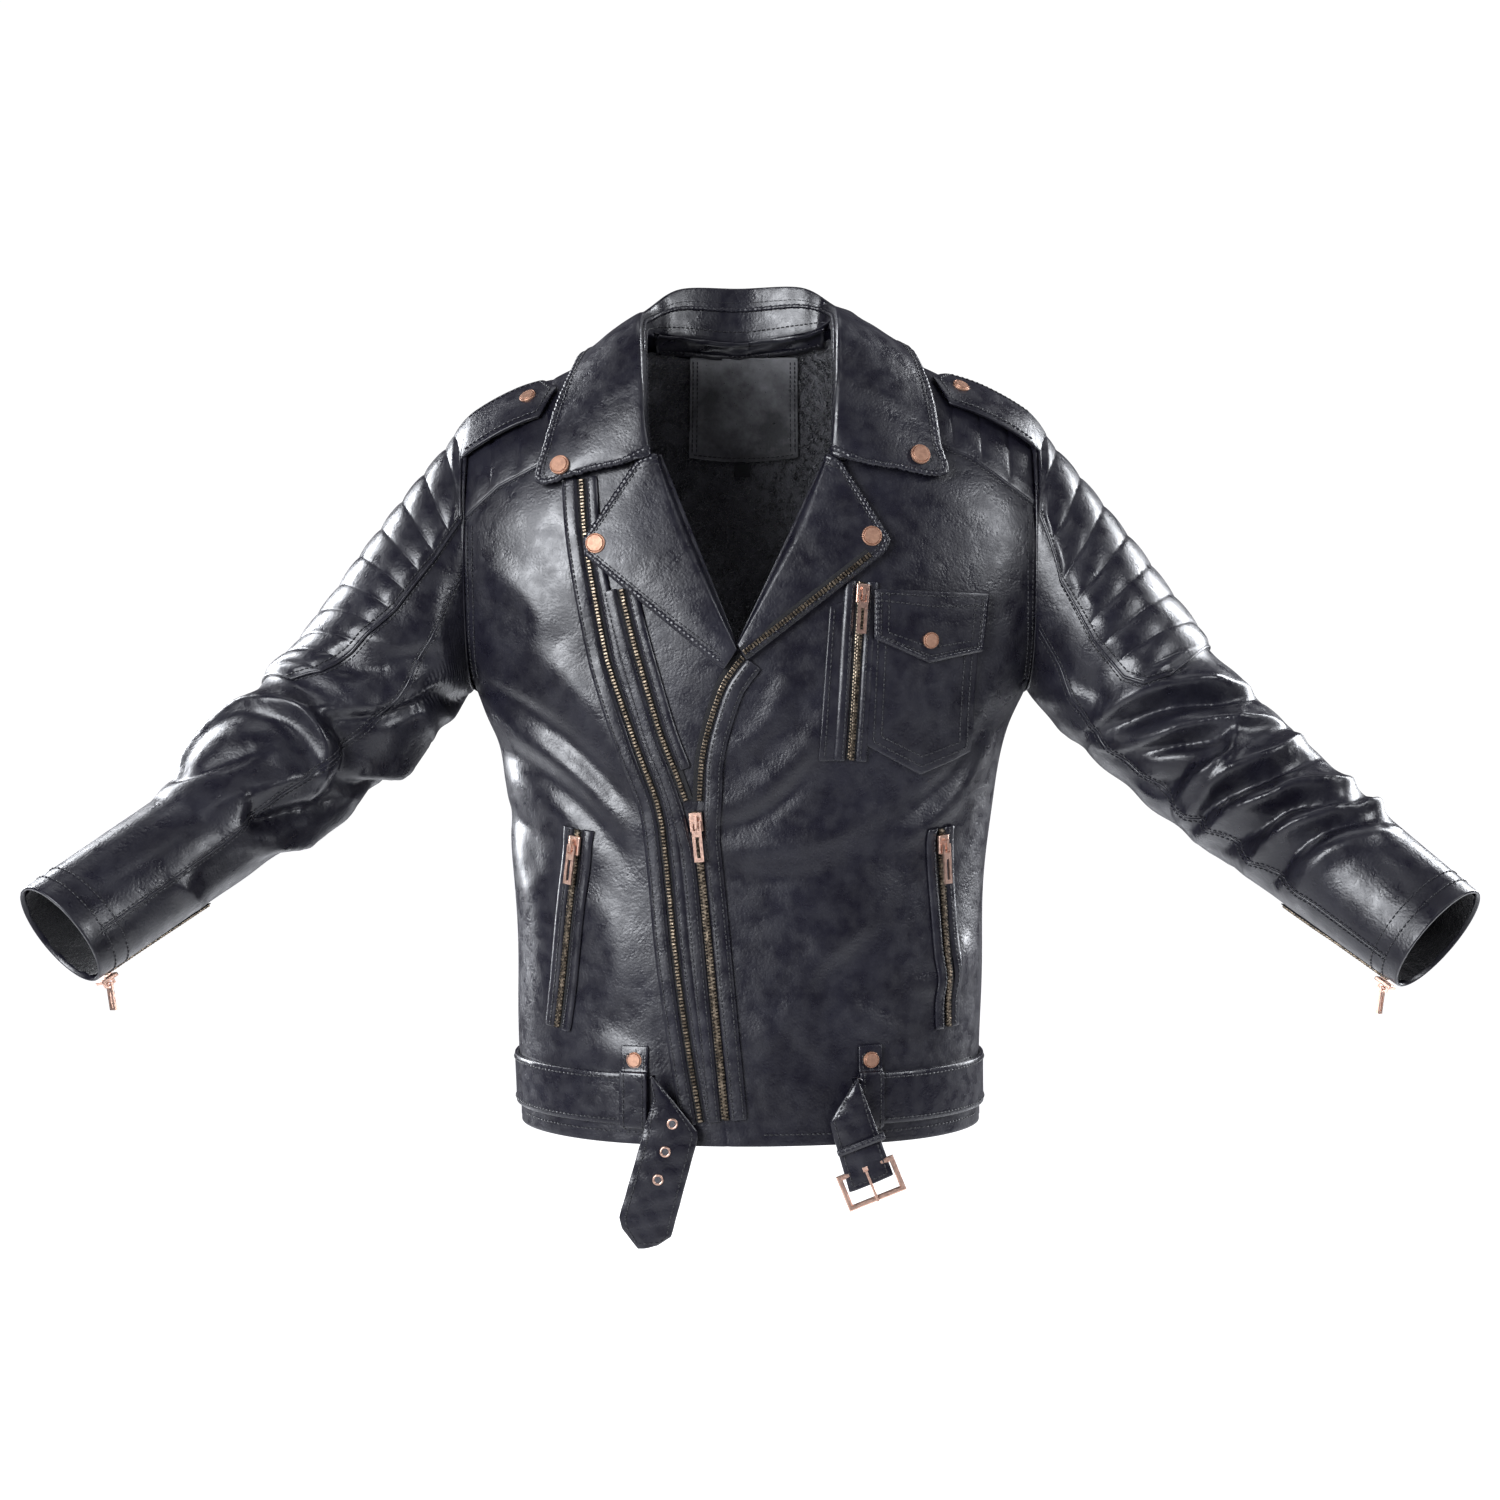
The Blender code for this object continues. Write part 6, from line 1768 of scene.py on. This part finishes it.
def cuff_zip(side, made):
    _, elbow, wrist, _, down = arm(side)
    outward = unit(BELOW - down * np.dot(BELOW, down))
    start = elbow + down * 0.05027 + outward * ELBOW_RADIUS
    finish = wrist + outward * CUFF_RADIUS
    slope = unit(finish - start)
    normal = unit(outward - slope * np.dot(outward, slope))
    base = finish - slope * 0.004 + normal * 0.0016
    line = mix(base - slope * 0.110, base, np.linspace(0, 1, 60)[:, None])
    normals = np.broadcast_to(normal, line.shape)
    laid = []
    for point in line:
        away = np.linalg.norm(made.grid[ALONG // 2 :] - point, axis=-1)
        j, i = np.unravel_index(np.argmin(away), away.shape)
        above = float(np.dot(made.grid[ALONG // 2 + j, i] - point, normal))
        laid.append(point + normal * (above + 0.0012))
    line = curve(np.array(laid)[::6], 60)
    chain(f"{side}_cuff_zip_tape", f"{side}_forearm", line, normals, 0.0052, True)


def armholes():
    """The seam round each armhole, with its edge turned to the body."""
    for side, hand in HANDS.items():
        turns = np.linspace(0, 2 * math.pi, 181)
        flat = np.stack((0 * turns, np.sin(turns), np.cos(turns)), -1)
        size = oval(flat, 0.0672, 0.1046)
        centre = np.array((hand * 0.2212, 0.0, ARM_MIDDLE))
        path = centre + flat * size[:, None]
        verts, faces = tube(path, unit(flat), 0.0014)
        put(f"{side}_armhole_seam", verts, faces.tolist(), LEATHER, "root")
        runs = []
        for high, front in ((YOKE_SEAM[side][-1][1] - 0.004, FRONT), (-0.075, BACK)):
            z = np.linspace(-0.242, high, 60)
            for inset in (0.0045, 0.0085):
                runs.append(spot(np.full(60, hand * (ARM_X - inset)), z, front, STITCH_LIFT))
        stitches(f"{side}_armhole_stitches", runs, "root")


def body_seams():
    gap, radius = 0.0026, 0.0010
    runs, cords = [], []
    for side in HANDS:
        points, normals = front_line([(x, z + 0.0004) for x, z in YOKE_SEAM[side]], 0.0, bend=False)
        _, across, normal = path_frame(points, normals)
        runs += [(points + across * gap, normals), (points - across * gap, normals)]
        cords.append(tube(points - normal * radius * 0.35, normals, radius))
    merged("yoke_seams_edge", cords, LEATHER, "root")
    stitches("yoke_seams_stitches", runs, "root")
    stitch_z = HEM + 0.0085
    runs = []
    for hand, start in ((-1, 0.046), (1, 0.010)):
        runs.append(spot(np.linspace(start, 0.178, 90) * hand, np.full(90, stitch_z), FRONT, STITCH_LIFT))
    runs.append(spot(np.linspace(-0.178, 0.178, 180), np.full(180, stitch_z), BACK, STITCH_LIFT))
    stitches("hem_stitches", runs, "root")
    cords = []
    for hand in (-1, 1):
        z = np.linspace(HEM + 0.001, ARM_LOW, 120)
        p, n = spot(hand * (side_x(z) - 0.0002), z, FRONT, 0.0)
        p[:, 1] = 0.0
        cords.append(tube(p, unit(n * (1, 0, 0) + (1e-9, 0, 0)), 0.0011))
    merged("side_seams", cords, LEATHER, "root")


SHORTENED = 0.66


def cuff_pulls():
    """The cuffs' pulls, which are shorter than the others."""
    for side in HANDS:
        node = f"{side}_cuff_pull"
        source = bpy.data.objects[node]
        verts = np.array([source.matrix_world @ vert.co for vert in source.data.vertices])
        top = verts[:, 2].max()
        verts[:, 2] = top + (verts[:, 2] - top) * SHORTENED
        faces = [tuple(face.vertices) for face in source.data.polygons]
        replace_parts(put(f"{node}_tab", verts, faces, ROSE, node, smooth=False), node)


ZIPPED = ("main", "chest", "right_hip", "left_hip", "right_cuff", "left_cuff")
SHAPES_KEPT = [f"{zipped}_{part}" for zipped in ZIPPED for part in ("slider", "pull")] + ["buckle_prong"]


def hardware():
    """Better metal on the sliders, the pulls and the prong, whose shapes stay."""
    for name in SHAPES_KEPT:
        for slot in bpy.data.objects[name].material_slots:
            slot.material = ROSE


# ---------------------------------------------------------------- stage and light

AIM = Vector((0.0, 0.0, -0.30))
CAMERA_RISE, CAMERA_DISTANCE = math.radians(3.0), 2.0
SENSOR, LENS = 36.0, 60.0
LIGHT_COLOUR = (0.93, 0.955, 1.0)
FLOOR_DROP, FLOOR_SIZE = 0.60, 12.0


def stage_and_light():
    forward = Vector((0, math.cos(CAMERA_RISE), -math.sin(CAMERA_RISE)))
    camera = bpy.data.cameras.new("camera")
    camera.sensor_width, camera.lens = SENSOR, LENS
    holder = bpy.data.objects.new("camera", camera)
    holder.location = AIM - forward * CAMERA_DISTANCE
    holder.rotation_euler = forward.to_track_quat("-Z", "Y").to_euler()
    bpy.context.scene.collection.objects.link(holder)
    bpy.context.scene.camera = holder

    floor_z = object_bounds()[0][2] - FLOOR_DROP
    made, tree, shader = material("studio_floor", "leather", roughness=0.9, colour=(0.92, 0.92, 0.92))
    tint(tree, shader, noise(tree, coords(tree), 1.5, 3.0), (0.90, 0.90, 0.90), (0.94, 0.94, 0.94))
    shader.inputs["Emission Color"].default_value = (1, 1, 1, 1)
    rays = tree.nodes.new("ShaderNodeLightPath")
    strength = ramp(tree, rays.outputs["Is Camera Ray"], 0, 1, 0.0, 1.00)
    tree.links.new(strength, shader.inputs["Emission Strength"])
    corners = [(x * FLOOR_SIZE, y * FLOOR_SIZE, floor_z) for x, y in ((-1, -1), (1, -1), (1, 1), (-1, 1))]
    put("studio_floor", corners, [(0, 1, 2, 3)], made)

    world = bpy.data.worlds.new("studio")
    bpy.context.scene.world = world
    world.use_nodes = True
    tree = world.node_tree
    back_light = tree.nodes["Background"]
    rays = tree.nodes.new("ShaderNodeLightPath")
    tone = blend_colour(tree, rays.outputs["Is Camera Ray"], (0.84, 0.81, 1.0), (1.0, 1.0, 1.0))
    tree.links.new(tone, back_light.inputs["Color"])
    strength = ramp(tree, rays.outputs["Is Camera Ray"], 0, 1, 0.085, 1.05)
    tree.links.new(strength, back_light.inputs["Strength"])
    bpy.context.scene.view_settings.view_transform = "Standard"
    def softbox(name, place, aim, width, height, power, spread=180.0):
        light = bpy.data.lights.new(name, "AREA")
        light.shape = "RECTANGLE"
        light.size, light.size_y = width, height
        light.energy = power
        light.spread = math.radians(spread)
        light.color = LIGHT_COLOUR
        lamp = bpy.data.objects.new(name, light)
        lamp.location = place
        lamp.rotation_euler = (Vector(aim) - Vector(place)).to_track_quat("-Z", "Y").to_euler()
        bpy.context.scene.collection.objects.link(lamp)

    softbox("left_rim", (-1.8, 1.10, 0.25), (0, 0, -0.3), 0.7, 1.8, 80)
    softbox("right_rim", (1.9, 0.95, 0.35), (0, 0, -0.3), 0.7, 1.8, 76)
    softbox("top", (0.0, 0.3, 1.8), (0, 0, -0.3), 1.8, 0.7, 8)
    softbox("front_left", (-1.35, -1.85, 0.22), (0.05, 0, -0.42), 1.4, 1.3, 11.0, 58.0)
    softbox("front_right", (1.9, -1.2, 0.5), (0.15, 0, -0.35), 0.4, 1.0, 18)
    softbox("front_high", (0.4, -1.6, 1.7), (0, 0, -0.45), 1.0, 0.3, 3)


def build():
    for side in HANDS:
        front_panel(side)
        yoke(side)
        lapel(side)
        epaulette(side)
        sleeve(side)
    back()
    lining()
    neck_patch()
    collar()
    body_seams()
    armholes()
    zips()
    lapel_chain()
    pocket_zips()
    pocket()
    belt()
    straps()
    snaps()
    cuff_pulls()
    hardware()
    stage_and_light()


build()
